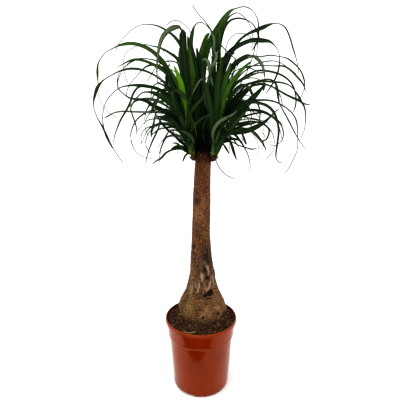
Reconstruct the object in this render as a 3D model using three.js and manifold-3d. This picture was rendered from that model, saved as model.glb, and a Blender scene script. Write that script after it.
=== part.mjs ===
// A ponytail palm in its nursery pot: a thin plastic pot, potting soil, one grown trunk with a swollen foot,
// and four leafy heads that sprout round the trunk's cut top. Millimetres, +Z up, the front faces -Y.
// The origin is the middle of the pot's underside.
import * as THREE from "three";
import Module from "manifold-3d";
import { mergeVertices } from "three/addons/utils/BufferGeometryUtils.js";

// Pot
const potHeight = 245;
const rimRadius = 120;
const wall = 1.6;
// The outside of the wall: radius and height
const wallOutline = [[94.3, 10], [95.4, 30], [101.8, 140], [104.9, 164], [110.6, 192.5], [115.4, 233]];
const ridgeHeight = 190;
const ridgeProud = 1.5;
const lipHeight = 11;
const lipThickness = 1.8;
const footRadius = 88;
const footRingWidth = 8.5;
const floorRise = 9;
const floorThickness = 2;
const centrePadRadius = 32;
const notchCount = 3;
const notchWidth = 45;
const notchHeight = 8.5;
const firstNotchAngle = 241; // degrees round the pot, just left of the front
const drainHoles = 6;
const drainHoleRadius = 6;
const potSides = 36;

// Soil
const soilAtWall = 230;
const soilAtTrunk = 243;
const fitGap = 0.35;

// Trunk: its height and radius, and how far its middle wanders sideways and back with the height
const trunkProfile = [
  [152, 0], [158, 17], [188, 48], [226, 71], [246, 77.5], [262, 80.5], [278, 80], [292, 76.5], [306, 70],
  [322, 61.5], [342, 53], [370, 45.5], [405, 39.5], [445, 35.5], [490, 32], [540, 29.4], [600, 28.7],
  [660, 27.2], [710, 25], [765, 23.9], [786, 21], [785, 0],
];
const trunkWander = [
  [152, 4, 10], [280, 4, 10], [400, 4.5, 7], [460, 0.5, 5], [540, -1, 4], [620, 1.5, 3], [700, 3.5, 3],
  [790, 6, 4],
];
const trunkSides = 24;
const knobRadius = 15.5;
const knobHeight = 19;

// Leafy heads round the trunk's top: where each stands and how it leans, in degrees and millimetres, and the
// sector round the crown's axis that its leaves keep to
const crownAxis = { x: 6, y: 4 };
const headFoot = 779;
const socketDepth = 9;
const heads = [
  {
    name: "leaf_head_left", azimuth: 188, away: 29, lean: 11.5, stem: 11,
    from: 156, to: 260, leaves: 20, seed: 24,
  },
  {
    name: "leaf_head_right", azimuth: 350, away: 32, lean: 11, stem: 11,
    from: 260, to: 380, leaves: 18, seed: 9,
  },
  {
    name: "leaf_head_back_right", azimuth: 58, away: 25, lean: 9, stem: 9,
    from: 20, to: 96, leaves: 26, seed: 35,
  },
  {
    name: "leaf_head_back_left", azimuth: 126, away: 25, lean: 9, stem: 9,
    from: 96, to: 156, leaves: 24, seed: 46,
  },
];
const stemLength = 140;
const stemTip = 4;
const stemSides = 8;
const sheathCount = 4;
const clearOfNextHead = 1.5; // beside the half width of a leaf

// Blades
const bladeSteps = 7;
const bladeKeel = 1.9;
const bladeKeelAtTip = 1.3;
const lowestTip = 735;
const arcSteps = 4; // steps of an arch from one point of a leaf's path to the next

// The leaves whose arcs show best from the front: heading in degrees, width, roll at root and tip, then
// the reach from the crown's axis and the height of each place that the leaf passes.
const shownLeaves = [
  [174, 15, 60, 250, [125, 1090], [200, 1110], [330, 990], [220, 880]],
  [188, 14, 50, 230, [115, 995], [200, 1030], [315, 945], [240, 760]],
  [204, 15, 55, 160, [105, 950], [205, 985], [295, 905], [275, 825]],
  [214, 14, 70, 20, [120, 910], [245, 915], [305, 895]],
  [196, 13, 40, 120, [70, 820], [100, 805], [160, 760]],
  [226, 16, 30, 130, [135, 935], [200, 960], [255, 930], [315, 840]],
  [150, 12, 20, 100, [155, 960], [225, 1000], [240, 950], [215, 860]],
  [235, 14, 40, 110, [145, 945], [190, 950], [210, 910], [230, 850]],
  [222, 14, 60, 140, [105, 875], [150, 910], [170, 865], [210, 780]],
  [238, 13, 30, 90, [130, 865], [165, 870], [190, 840], [210, 810]],
  [150, 9, 10, 60, [140, 885], [190, 870], [235, 845], [235, 810]],
  [164, 13, 60, -40, [80, 1115], [170, 1170], [250, 1150], [300, 1095]],
  [215, 17, 20, 80, [60, 1055], [90, 1135], [145, 1075], [150, 975]],
  [140, 6, 0, 90, [20, 1130], [75, 1170], [110, 1185], [145, 1175]],
  [125, 9, 0, 60, [30, 1080], [50, 1150], [80, 1200], [105, 1225]],
  [28, 16, 60, -60, [45, 1150], [140, 1220], [195, 1165], [190, 1090]],
  [84, 17, 10, 60, [15, 1060], [25, 1140], [50, 1170], [85, 1090]],
  [352, 15, 50, 130, [45, 1135], [100, 1170], [155, 1135], [135, 1075]],
  [6, 16, 60, 220, [110, 1110], [215, 1160], [285, 1055], [300, 960]],
  [346, 17, 60, 150, [100, 1090], [155, 1110], [220, 1060], [175, 950]],
  [14, 12, 30, 110, [130, 1065], [215, 1080], [310, 1050], [355, 985]],
  [336, 13, 40, 120, [140, 1030], [210, 1030], [250, 1020], [300, 965]],
  [356, 14, 40, 200, [110, 1005], [170, 1030], [270, 960], [265, 910]],
  [10, 15, 60, 250, [115, 975], [215, 1000], [330, 905], [275, 820]],
  [328, 13, 50, 130, [150, 985], [250, 955], [325, 930]],
  [324, 15, 50, 210, [125, 930], [205, 940], [295, 855], [265, 750]],
  [314, 15, 40, 140, [145, 935], [195, 940], [270, 870], [285, 785]],
  [340, 14, 30, 120, [140, 985], [200, 1005], [230, 930], [305, 810]],
  [308, 16, 30, 90, [160, 860], [220, 875], [265, 905], [295, 920]],
  [320, 13, 30, 110, [120, 870], [175, 865], [200, 835], [220, 810]],
  [300, 12, 20, 100, [135, 865], [190, 845], [235, 790], [230, 755]],
  [330, 9, 10, 60, [60, 810], [90, 770], [120, 740]],
  [320, 16, 40, 130, [115, 1035], [165, 1055], [205, 1015], [205, 965]],
];

// The broad blades that stand up in the crown's middle with their upper side to the front: the head's name,
// the width, then x, y and height of each place that the leaf passes.
const standingLeaves = [
  ["leaf_head_left", 18, [-35, -50, 895], [-45, -65, 1010], [-50, -65, 1075], [-55, -65, 1115]],
  ["leaf_head_left", 12, [-50, -75, 910], [-50, -80, 965], [-75, -75, 1035]],
  ["leaf_head_left", 17, [-50, -40, 835], [-65, -60, 930], [-85, -70, 995], [-95, -70, 1035]],
  ["leaf_head_left", 18, [-40, -50, 835], [-60, -65, 920], [-90, -70, 970], [-120, -65, 990]],
  ["leaf_head_left", 14, [-25, -10, 950], [-30, -10, 1050], [-30, -10, 1110], [-20, -10, 1150]],
  ["leaf_head_left", 14, [-25, -35, 925], [-25, -45, 1015], [-35, -45, 1090]],
  ["leaf_head_left", 17, [-15, -35, 870], [-10, -40, 980], [-25, -35, 1100]],
  ["leaf_head_left", 13, [-45, -85, 865], [-80, -110, 935], [-125, -115, 960], [-160, -115, 960]],
  ["leaf_head_left", 13, [-40, -50, 815], [-70, -75, 875], [-110, -85, 900], [-135, -85, 900]],
  ["leaf_head_left", 14, [-35, -60, 875], [-40, -65, 915], [-35, -65, 985]],
  ["leaf_head_right", 13, [30, -65, 875], [20, -85, 955], [5, -95, 1000]],
  ["leaf_head_right", 12, [35, -90, 855], [50, -110, 885], [100, -115, 915]],
  ["leaf_head_right", 16, [45, -55, 820], [85, -80, 885], [130, -90, 940], [170, -95, 985]],
  ["leaf_head_right", 14, [30, -20, 985], [40, -25, 1090], [65, -30, 1150], [115, -35, 1170]],
  ["leaf_head_right", 11, [55, -70, 905], [75, -80, 975], [135, -85, 1045]],
  ["leaf_head_right", 18, [50, -60, 870], [60, -80, 960], [80, -80, 1045]],
  ["leaf_head_right", 17, [40, -60, 865], [45, -80, 970], [60, -80, 1060]],
  ["leaf_head_right", 15, [25, -35, 870], [30, -45, 980], [35, -40, 1050]],
  ["leaf_head_right", 17, [35, -40, 890], [45, -50, 1000], [95, -50, 1075]],
];

const wasm = await Module();
wasm.setup();

const radians = (degrees) => (degrees * Math.PI) / 180;
const mix = (a, b, share) => a + (b - a) * share;
const clamp = (value, low, high) => Math.min(high, Math.max(low, value));

// A small repeatable random source, so that the plant is the same each time it is built.
function seededRandom(seed) {
  let state = seed >>> 0;
  return () => {
    state = (Math.imul(state, 1664525) + 1013904223) >>> 0;
    return state / 4294967296;
  };
}

// The row of a table of [height, ...values], smoothly between its lines.
function along(table, height) {
  const last = table.length - 1;
  if (height <= table[0][0]) return table[0].slice(1);
  if (height >= table[last][0]) return table[last].slice(1);
  const upper = table.findIndex((row) => row[0] > height);
  const [below, above] = [table[upper - 1], table[upper]];
  const share = (height - below[0]) / (above[0] - below[0]);
  const eased = share * share * (3 - 2 * share);
  return below.slice(1).map((value, i) => mix(value, above[i + 1], eased));
}

// A closed geometry as a solid for cutting and joining.
function solid(geometry) {
  const bare = new THREE.BufferGeometry().setAttribute("position", geometry.getAttribute("position"));
  if (geometry.index) bare.setIndex(geometry.index);
  const merged = mergeVertices(bare, 1e-3);
  return new wasm.Manifold(
    new wasm.Mesh({
      numProp: 3,
      vertProperties: new Float32Array(merged.attributes.position.array),
      triVerts: new Uint32Array(merged.index.array),
    }),
  );
}

// The one body that holds together, without loose scraps.
function largest(made) {
  return made.decompose().reduce((a, b) => (b.volume() > a.volume() ? b : a));
}

function geometryOf(made) {
  const mesh = made.getMesh();
  return new THREE.BufferGeometry()
    .setAttribute("position", new THREE.BufferAttribute(new Float32Array(mesh.vertProperties), 3))
    .setIndex(new THREE.BufferAttribute(new Uint32Array(mesh.triVerts), 1));
}

// A profile of [radius, height] turned about the Z axis.
function turned(profile, sides) {
  const points = profile.map(([radius, height]) => new THREE.Vector2(radius, height));
  return new THREE.LatheGeometry(points, sides).rotateX(Math.PI / 2);
}

// Whether a four-sided gap, split from a to farB, bulges outwards or lies flat.
function bulgesOut(a, b, farB, farA) {
  const [edge, split, corner] = [b, farB, farA].map((point) => point.clone().sub(a));
  return edge.cross(split).dot(corner) <= 0;
}

// Rings of points, one after the other, closed over the first ring and brought to a point at the tip. Each gap
// between two rings is split so that it bulges outwards, so that a thin twisted blade can't pass through itself.
function skinned(rings, tip) {
  const count = rings[0].length;
  const points = rings.flat();
  points.push(tip);
  const faces = [];
  for (let ring = 0; ring + 1 < rings.length; ring++)
    for (let i = 0; i < count; i++) {
      const [a, b] = [ring * count + i, ring * count + ((i + 1) % count)];
      const [farA, farB] = [a + count, b + count];
      const split = bulgesOut(points[a], points[b], points[farB], points[farA]);
      if (split) faces.push(a, b, farB, a, farB, farA);
      else faces.push(a, b, farA, b, farB, farA);
    }
  const lastRing = (rings.length - 1) * count;
  for (let i = 0; i < count; i++) faces.push(lastRing + i, lastRing + ((i + 1) % count), points.length - 1);
  for (let i = 1; i + 1 < count; i++) faces.push(0, i + 1, i);
  return new THREE.BufferGeometry().setFromPoints(points).setIndex(faces);
}

// The pot

// The wall's radius at a height, straight between the points of its outline.
function wallRadius(height) {
  const upper = wallOutline.findIndex((point) => point[1] > height);
  const [below, above] = [wallOutline[upper - 1], wallOutline[upper]];
  return mix(below[0], above[0], (height - below[1]) / (above[1] - below[1]));
}

function potOutside() {
  const foot = [
    [0, 0], [centrePadRadius, 0], [centrePadRadius + 5, floorRise], [footRadius - footRingWidth - 1, floorRise],
    [footRadius - footRingWidth, 0], [footRadius, 0], [footRadius + 4.4, 3.5],
  ];
  const ridge = [
    [wallRadius(ridgeHeight - 2.5), ridgeHeight - 2.5],
    [wallRadius(ridgeHeight) + ridgeProud, ridgeHeight],
  ];
  const underRidge = wallOutline.filter((point) => point[1] < ridgeHeight);
  const overRidge = wallOutline.filter((point) => point[1] > ridgeHeight);
  return [...foot, ...underRidge, ...ridge, ...overRidge];
}

// A rolled lip that hangs down outside the wall, with a narrow groove behind it.
function potLip() {
  const skirt = rimRadius - lipThickness;
  return [
    [skirt - wall, potHeight - 3.5], [skirt, potHeight - 4], [skirt, potHeight - lipHeight],
    [rimRadius, potHeight - lipHeight], [rimRadius, potHeight - 2.5], [skirt, potHeight],
  ];
}

function potInside() {
  const top = floorRise + floorThickness;
  const mouth = rimRadius - lipThickness - 2 * wall;
  const upWall = wallOutline.slice(1, -1).reverse().map(([radius, height]) => [radius - wall, height]);
  return [[mouth, potHeight], [mouth - 1, potHeight - 4], ...upWall, [wallOutline[0][0] - wall, top]];
}

function floorTop() {
  const top = floorRise + floorThickness;
  return [[centrePadRadius + 4, top], [centrePadRadius - 1, floorThickness], [0, floorThickness]];
}

function makePot() {
  let pot = solid(turned([...potOutside(), ...potLip(), ...potInside(), ...floorTop()], potSides));
  for (let i = 0; i < notchCount; i++) {
    const notch = new THREE.BoxGeometry(4.5 * footRingWidth, notchWidth, 2 * notchHeight);
    notch.translate(footRadius, 0, 0).rotateZ(radians(firstNotchAngle + (360 / notchCount) * i));
    pot = pot.subtract(solid(notch));
  }
  const holeRing = (centrePadRadius + footRadius - footRingWidth) / 2 + 2;
  for (let i = 0; i < drainHoles; i++) {
    const hole = new THREE.CylinderGeometry(drainHoleRadius, drainHoleRadius, 4 * floorThickness, 10);
    hole.rotateX(Math.PI / 2).translate(holeRing, 0, floorRise + floorThickness / 2);
    pot = pot.subtract(solid(hole.rotateZ(radians((360 / drainHoles) * (i + 0.5)))));
  }
  return pot;
}

// The trunk

// Long shallow furrows up the trunk and corky lumps on its swollen foot, none below the soil.
function barkRelief(angle, height) {
  const bare = clamp((height - 236) / 24, 0, 1) * clamp((786 - height) / 10, 0, 1);
  const furrows = 0.7 * Math.sin(7 * angle + height / 38) + 0.6 * Math.sin(4 * angle - height / 61 + 1.3);
  const foot = clamp((345 - height) / 60, 0, 1);
  const lumps = 1.8 * Math.sin(5 * angle + 0.9) * Math.sin(height / 13);
  const ribs = 1.3 * Math.sin(9 * angle + height / 17);
  return bare * (furrows + foot * (lumps + ribs));
}

// The trunk's skin, pushed out by a clearance where it cuts the hole that it stands in.
function trunkSkin(clearance) {
  const profile = trunkProfile.map(([height, radius], i) => {
    const end = radius === 0;
    const shift = i === 0 ? -clearance : 0;
    return [end ? 0 : radius + clearance, height + shift];
  });
  const skin = turned(profile, trunkSides);
  const places = skin.getAttribute("position");
  for (let i = 0; i < places.count; i++) {
    const [x, y, z] = [places.getX(i), places.getY(i), places.getZ(i)];
    const radius = Math.hypot(x, y);
    const [aside, back] = along(trunkWander, z);
    const swell = radius > 1 ? 1 + barkRelief(Math.atan2(y, x), z) / radius : 1;
    places.setXYZ(i, x * swell + aside, y * swell + back, z);
  }
  return solid(skin);
}

function headFrame(head) {
  const angle = radians(head.azimuth);
  const lean = radians(head.lean);
  return {
    foot: new THREE.Vector3(
      crownAxis.x + head.away * Math.cos(angle),
      crownAxis.y + head.away * Math.sin(angle),
      headFoot,
    ),
    axis: new THREE.Vector3(
      Math.sin(lean) * Math.cos(angle),
      Math.sin(lean) * Math.sin(angle),
      Math.cos(lean),
    ),
  };
}

// A straight tapered rod between two places on a head's axis, counted from its foot.
function rod(frame, start, end, startRadius, endRadius, sides) {
  const geometry = new THREE.CylinderGeometry(endRadius, startRadius, end - start, sides);
  const turn = new THREE.Quaternion().setFromUnitVectors(new THREE.Vector3(0, 1, 0), frame.axis);
  geometry.translate(0, (start + end) / 2, 0).applyQuaternion(turn);
  return solid(geometry.translate(frame.foot.x, frame.foot.y, frame.foot.z));
}

// Short dry sheaths that stand out round a sprout's foot.
function drySheaths(frame, head, random) {
  const made = [];
  for (let i = 0; i < sheathCount; i++) {
    const heading = radians(head.azimuth + mix(-100, 100, (i + 0.5) / sheathCount) + mix(-6, 6, random()));
    const out = new THREE.Vector3(Math.cos(heading), Math.sin(heading), 0);
    const side = new THREE.Vector3(-out.y, out.x, 0);
    const root = frame.foot.clone().addScaledVector(out, knobRadius * 0.45);
    root.z -= mix(8, 2, random());
    const length = mix(10, 19, random());
    const rings = [0, 0.5].map((share) => {
      const middle = root.clone().addScaledVector(out, length * share);
      middle.z += length * (0.15 + 0.5 * share * share) - 3;
      const half = mix(6.5, 4, share);
      return [
        middle.clone().addScaledVector(side, half),
        middle.clone().addScaledVector(side, -half),
        middle.clone().setZ(middle.z - 3.2),
      ];
    });
    const tip = root.clone().addScaledVector(out, length + 4);
    tip.z += length * 0.55;
    made.push(solid(skinned(rings, tip)));
  }
  return made;
}

function makeTrunk() {
  const pieces = [trunkSkin(0)];
  for (const head of heads) {
    const frame = headFrame(head);
    const knob = new THREE.SphereGeometry(knobRadius, 9, 5).rotateX(Math.PI / 2);
    const size = head.stem / 11;
    knob.scale(size, size, (size * knobHeight) / knobRadius);
    const seat = frame.foot.clone().addScaledVector(frame.axis, -11);
    pieces.push(solid(knob.translate(seat.x - 3 * frame.axis.x, seat.y - 3 * frame.axis.y, seat.z)));
    pieces.push(...drySheaths(frame, head, seededRandom(head.seed + 100)));
  }
  let trunk = wasm.Manifold.union(pieces);
  for (const head of heads) {
    const frame = headFrame(head);
    const hole = head.stem + fitGap;
    trunk = trunk.subtract(rod(frame, -socketDepth - fitGap, 60, hole, hole, stemSides));
  }
  return largest(trunk);
}

// Soil that fills the pot to just under its rim, a little higher round the trunk, with a lumpy surface.
function makeSoil() {
  const top = floorRise + floorThickness + fitGap;
  const inside = potInside().reverse().filter(([, height]) => height < soilAtWall);
  const bed = [
    [0, floorThickness + fitGap],
    [centrePadRadius - 1 - fitGap, floorThickness + fitGap],
    [centrePadRadius + 4 - fitGap, top],
    ...inside.map(([radius, height]) => [radius - fitGap, height + fitGap]),
    [wallRadius(soilAtWall) - wall - 2 * fitGap, soilAtWall],
  ];
  const surface = [[104, 0.15], [95, 0.4], [86, 0.7], [74, 1], [0, 1]].map(([radius, share]) => [
    radius,
    mix(soilAtWall, soilAtTrunk, share),
  ]);
  const ground = turned([...bed, ...surface], potSides);
  const places = ground.getAttribute("position");
  for (let i = 0; i < places.count; i++) {
    const [x, y, z] = [places.getX(i), places.getY(i), places.getZ(i)];
    const radius = Math.hypot(x, y);
    if (z < soilAtWall + 1 || radius < 1) continue;
    const angle = Math.atan2(y, x);
    places.setZ(i, z + 1.6 * Math.sin(3 * angle + radius / 9) + 1.1 * Math.sin(7 * angle - radius / 5));
  }
  return largest(solid(ground).subtract(trunkSkin(fitGap)));
}

// Leaves

// The head whose sector holds a heading from 0 to 360.
function headOf(heading) {
  return heads.find(({ from, to }) => [heading, heading + 360].some((turn) => turn >= from && turn < to));
}

// A place counted from the crown's axis, kept inside its head's sector, as a place of the object.
function inSector(head, point, margin) {
  for (const edge of [radians(head.from + 90), radians(head.to - 90)]) {
    const inward = new THREE.Vector3(Math.cos(edge), Math.sin(edge), 0);
    point.addScaledVector(inward, Math.max(0, margin - point.dot(inward)));
  }
  return point.add(new THREE.Vector3(crownAxis.x, crownAxis.y, 0));
}

// A point of a leaf: a reach from the crown's axis along a heading, at a height.
function placed(head, heading, reach, height, margin) {
  const angle = radians(heading);
  return inSector(head, new THREE.Vector3(reach * Math.cos(angle), reach * Math.sin(angle), height), margin);
}

// Where a leaf grows from its head's stem: a place up the stem, sunk in towards the leaf's heading.
function leafRoot(head, up, heading) {
  const frame = headFrame(head);
  const sunk = mix(head.stem, stemTip, up) * 0.35;
  const angle = radians(heading);
  const root = frame.foot.clone().addScaledVector(frame.axis, mix(8, stemLength - 6, up));
  return root.add(new THREE.Vector3(sunk * Math.cos(angle), sunk * Math.sin(angle), 0));
}

function shownLeaf([heading, width, rollRoot, rollTip, ...points]) {
  const head = headOf(heading);
  const margin = width / 2 + clearOfNextHead;
  const up = clamp((points[0][1] - 800) / 340, 0.04, 0.96);
  const path = [leafRoot(head, up, heading)];
  for (const [reach, height] of points) path.push(placed(head, heading, reach, height, margin));
  return { head, path, width, rollRoot, rollTip };
}

function standingLeaf([name, width, ...points]) {
  const head = heads.find((one) => one.name === name);
  const frame = headFrame(head);
  const [x, y, z] = points[0];
  const up = clamp((z - 60 - headFoot) / stemLength, 0.02, 0.9);
  const heading = THREE.MathUtils.radToDeg(Math.atan2(y - frame.foot.y, x - frame.foot.x));
  const path = [leafRoot(head, up, heading)];
  for (const [right, back, height] of points) {
    const point = new THREE.Vector3(right - crownAxis.x, back - crownAxis.y, height);
    path.push(inSector(head, point, width / 2 + clearOfNextHead));
  }
  return { head, path, width, rollRoot: 0, rollTip: 0, facesFront: true };
}

// A leaf of the fountain: the higher on its stem, the steeper it starts and the further over it arches. The
// youngest, at the stem's tip, stand nearly upright.
function grownLeaf(head, index, random) {
  const up = (index + 0.5) / head.leaves;
  const turn = (index * 0.618034 + head.seed * 0.37) % 1;
  const heading = mix(head.from, head.to, clamp(turn + mix(-0.04, 0.04, random()), 0.02, 0.98));
  const young = clamp((up - 0.88) / 0.05, 0, 1);
  const nearFront = Math.max(0, 1 - Math.abs(heading - 270) / 45);
  const width = mix(15, 21, random());
  const lift = mix(mix(30, 80, Math.pow(up, 0.8)) + mix(-9, 9, random()) + 32 * nearFront, 86, young);
  const size = mix(0.8, 1.08, random()) * (1 - 0.25 * nearFront - 0.3 * young);
  const length = mix(205, 350, Math.pow(up, 0.8)) * size;
  const bend = mix(95, 168, up) * mix(0.85, 1.15, random()) * (1 - 0.45 * nearFront - 0.4 * young);
  const sweep = mix(-18, 18, random());
  const rollRoot = mix(-35, 35, random());
  const rollTip = rollRoot + mix(-130, 130, random());
  const margin = width / 2 + clearOfNextHead;
  const path = [leafRoot(head, up, heading)];
  let reach = Math.hypot(path[0].x - crownAxis.x, path[0].y - crownAxis.y);
  let height = path[0].z;
  for (let step = 1; step <= 4 * arcSteps; step++) {
    const share = step / (4 * arcSteps);
    const slope = radians(lift - bend * Math.pow(share, 1.6));
    reach += (length / (4 * arcSteps)) * Math.cos(slope);
    height += (length / (4 * arcSteps)) * Math.sin(slope);
    if (step % arcSteps > 0) continue;
    path.push(placed(head, heading + sweep * share * share, reach, Math.max(height, lowestTip), margin));
  }
  return { head, path, width, rollRoot, rollTip };
}

// A strap blade along its leaf's path: flat above, keeled below, rolling as it goes, and drawn out to a point.
function blade({ path, width, rollRoot, rollTip, facesFront }) {
  const curve = new THREE.CatmullRomCurve3(path, false, "centripetal");
  const rings = [];
  for (let step = 0; step < bladeSteps; step++) {
    const share = step / bladeSteps;
    const middle = curve.getPoint(share);
    const ahead = curve.getTangent(share);
    const side = facesFront
      ? new THREE.Vector3(0, -1, 0).cross(ahead)
      : new THREE.Vector3(-ahead.y, ahead.x, 0);
    if (side.length() < 1e-4) side.set(1, 0, 0);
    side.normalize();
    const roll = radians(mix(rollRoot, rollTip, share));
    const across = side.clone().applyAxisAngle(ahead, roll);
    const face = new THREE.Vector3().crossVectors(ahead, across);
    const half = (width / 2) * (1 - Math.pow(share, 1.8)) * Math.min(1, 0.35 + share / 0.28);
    const keel = mix(bladeKeel, bladeKeelAtTip, share);
    rings.push([
      middle.clone().addScaledVector(across, half),
      middle.clone().addScaledVector(across, -half),
      middle.clone().addScaledVector(face, -keel),
    ]);
  }
  return solid(skinned(rings, path[path.length - 1]));
}

function makeHead(head) {
  const random = seededRandom(head.seed);
  const shown = [...shownLeaves.map(shownLeaf), ...standingLeaves.map(standingLeaf)];
  const leaves = shown.filter((leaf) => leaf.head === head);
  for (let i = 0; i < head.leaves; i++) leaves.push(grownLeaf(head, i, random));
  const stem = rod(headFrame(head), -socketDepth, stemLength, head.stem, stemTip, stemSides);
  return largest(wasm.Manifold.union([stem, ...leaves.map(blade)])).simplify(0.03);
}

// The object

const finish = (color, roughness) => new THREE.MeshStandardMaterial({ color, roughness, metalness: 0 });
const terracottaPlastic = finish(0x9c3d1c, 0.35);
const darkSoil = finish(0x2b1d14, 0.98);
const bark = finish(0x6b452b, 0.92);
const leafGreen = finish(0x1f4a16, 0.45);

function node(name, made, material) {
  const mesh = new THREE.Mesh(geometryOf(made), material);
  mesh.name = name;
  return mesh;
}

const plant = new THREE.Group();
plant.add(node("pot", makePot(), terracottaPlastic));
plant.add(node("soil", makeSoil(), darkSoil));
plant.add(node("trunk", makeTrunk(), bark));
for (const head of heads) plant.add(node(head.name, makeHead(head), leafGreen));

export default plant;
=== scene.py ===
# A ponytail palm in its nursery pot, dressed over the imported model.
# The settings are in millimetres and degrees, as in the model's own source; the meshes are made in metres.
import math

import bmesh
import bpy
import numpy as np
from mathutils import Matrix, Vector


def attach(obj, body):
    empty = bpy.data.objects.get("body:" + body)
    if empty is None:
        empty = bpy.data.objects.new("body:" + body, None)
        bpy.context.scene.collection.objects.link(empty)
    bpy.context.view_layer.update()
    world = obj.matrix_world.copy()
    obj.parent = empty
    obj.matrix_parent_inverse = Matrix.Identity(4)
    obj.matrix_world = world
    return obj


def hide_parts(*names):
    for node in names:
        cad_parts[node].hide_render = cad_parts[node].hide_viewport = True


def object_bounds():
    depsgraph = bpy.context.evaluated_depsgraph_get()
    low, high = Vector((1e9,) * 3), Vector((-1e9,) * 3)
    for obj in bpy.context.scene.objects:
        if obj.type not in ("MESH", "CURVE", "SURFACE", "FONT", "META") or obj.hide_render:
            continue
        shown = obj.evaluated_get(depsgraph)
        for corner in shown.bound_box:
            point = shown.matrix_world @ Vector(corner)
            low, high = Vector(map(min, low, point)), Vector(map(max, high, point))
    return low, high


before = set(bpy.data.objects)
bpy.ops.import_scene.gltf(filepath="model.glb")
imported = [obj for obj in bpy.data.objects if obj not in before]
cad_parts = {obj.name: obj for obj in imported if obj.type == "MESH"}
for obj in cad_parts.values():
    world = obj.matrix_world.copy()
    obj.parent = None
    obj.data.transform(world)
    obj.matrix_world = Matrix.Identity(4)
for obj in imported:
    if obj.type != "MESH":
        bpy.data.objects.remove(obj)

cadLow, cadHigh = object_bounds()
print("frame loaded")


# Shader helpers

# One socket of a material. Sums, products and the like of values add their Math nodes.
class Channel:
    def __init__(self, look, socket):
        self.look = look
        self.socket = socket

    def reckon(self, operation, *values):
        return self.look.add("ShaderNodeMath", {"operation": operation}, dict(enumerate(values)))

    def __add__(self, other):
        return self.reckon("ADD", self, other)

    def __radd__(self, other):
        return self.reckon("ADD", other, self)

    def __sub__(self, other):
        return self.reckon("SUBTRACT", self, other)

    def __rsub__(self, other):
        return self.reckon("SUBTRACT", other, self)

    def __mul__(self, other):
        return self.reckon("MULTIPLY", self, other)

    def __rmul__(self, other):
        return self.reckon("MULTIPLY", other, self)

    def __abs__(self):
        return self.reckon("ABSOLUTE", self)

    def sine(self):
        return self.reckon("SINE", self)

    def atMost(self, other):
        return self.reckon("MINIMUM", self, other)

    # 0 under low, 1 over high, smooth between
    def rise(self, low, high):
        values = {"Value": self, "From Min": low, "From Max": high}
        return self.look.add("ShaderNodeMapRange", {"interpolation_type": "SMOOTHSTEP"}, values)

    # this colour, with another over it where the mask is 1; the node's colour sockets go by number
    def under(self, other, mask):
        return self.look.add("ShaderNodeMix", {"data_type": "RGBA"}, {0: mask, 6: self, 7: other}, 2)


# A material round one Principled shader. The constants go on the shader's own sockets.
class Look:
    def __init__(self, name, **constants):
        self.material = bpy.data.materials.new(name)
        self.material.use_nodes = True
        tree = self.material.node_tree
        self.nodes, self.links = tree.nodes, tree.links
        self.shader = next(node for node in self.nodes if node.type == "BSDF_PRINCIPLED")
        for socket, value in constants.items():
            self.shader.inputs[socket.replace("_", " ")].default_value = value

    # any node: its type, its settings, and the values or links of its sockets
    def add(self, kind, settings=None, sockets=None, output=0):
        node = self.nodes.new(kind)
        for name, value in (settings or {}).items():
            if name == "stops":
                setStops(node.color_ramp, value)
            else:
                setattr(node, name, value)
        for key, value in (sockets or {}).items():
            self.feed(node.inputs[key], value)
        return Channel(self, node.outputs[output])

    def feed(self, socket, value):
        if isinstance(value, Channel):
            self.links.new(value.socket, socket)
        else:
            socket.default_value = value

    def shade(self, **channels):
        for socket, value in channels.items():
            self.feed(self.shader.inputs[socket.replace("_", " ")], value)

    def place(self):
        return self.add("ShaderNodeTexCoord", output="Object")

    # some coordinates, or else the piece's own, pulled out or squeezed along each axis
    def stretched(self, x, y, z, at=None):
        sockets = {0: at or self.place(), 1: (x, y, z)}
        return self.add("ShaderNodeVectorMath", {"operation": "MULTIPLY"}, sockets)

    def cloud(self, scale, detail=4, roughness=0.55, at=None):
        sockets = {"Vector": at or self.place(), "Scale": scale, "Detail": detail, "Roughness": roughness}
        return self.add("ShaderNodeTexNoise", None, sockets)

    def cells(self, scale, at=None, output="Distance"):
        return self.add("ShaderNodeTexVoronoi", None, {"Vector": at or self.place(), "Scale": scale}, output)

    # a value from 0 to 1, drawn for each cell
    def cellDraw(self, scale, at=None):
        return self.add("ShaderNodeSeparateColor", None, {"Color": self.cells(scale, at, "Color")}, 0)

    def drawn(self, name):
        return self.add("ShaderNodeAttribute", {"attribute_name": name}, None, "Fac")

    def ramp(self, value, *stops):
        return self.add("ShaderNodeValToRGB", {"stops": stops}, {"Fac": value})

    # a ramp of three tones, the middle one at 0.5
    def tones(self, value, low, high, dark, middle, light):
        return self.ramp(value, (low, tone(*dark)), (0.5, tone(*middle)), (high, tone(*light)))

    def relief(self, height, distance, strength=1):
        self.shade(Normal=self.add("ShaderNodeBump", None,
                                   {"Height": height, "Distance": distance, "Strength": strength}))


def setStops(ramp, stops):
    for element, (position, colour) in zip(ramp.elements, (stops[0], stops[-1])):
        element.position, element.color = position, colour
    for position, colour in stops[1:-1]:
        ramp.elements.new(position).color = colour


# A colour as it looks on a screen, 0 to 255, as the shader wants it
def tone(red, green, blue):
    def linear(value):
        share = value / 255
        return share / 12.92 if share < 0.04045 else ((share + 0.055) / 1.055) ** 2.4
    return (linear(red), linear(green), linear(blue), 1)


# Mesh helpers

mm = 0.001  # in metres
goldenAngle = 2.39996  # in radians


def mix(a, b, share):
    return a + (b - a) * share


def clamp(value, low=0.0, high=1.0):
    return min(high, max(low, value))


def smoothly(value, low, high):
    share = np.clip((np.asarray(value, float) - low) / (high - low), 0, 1)
    return share * share * (3 - 2 * share)


# The level direction at an angle
def level(angle):
    return np.array([math.cos(angle), math.sin(angle), 0])


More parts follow.
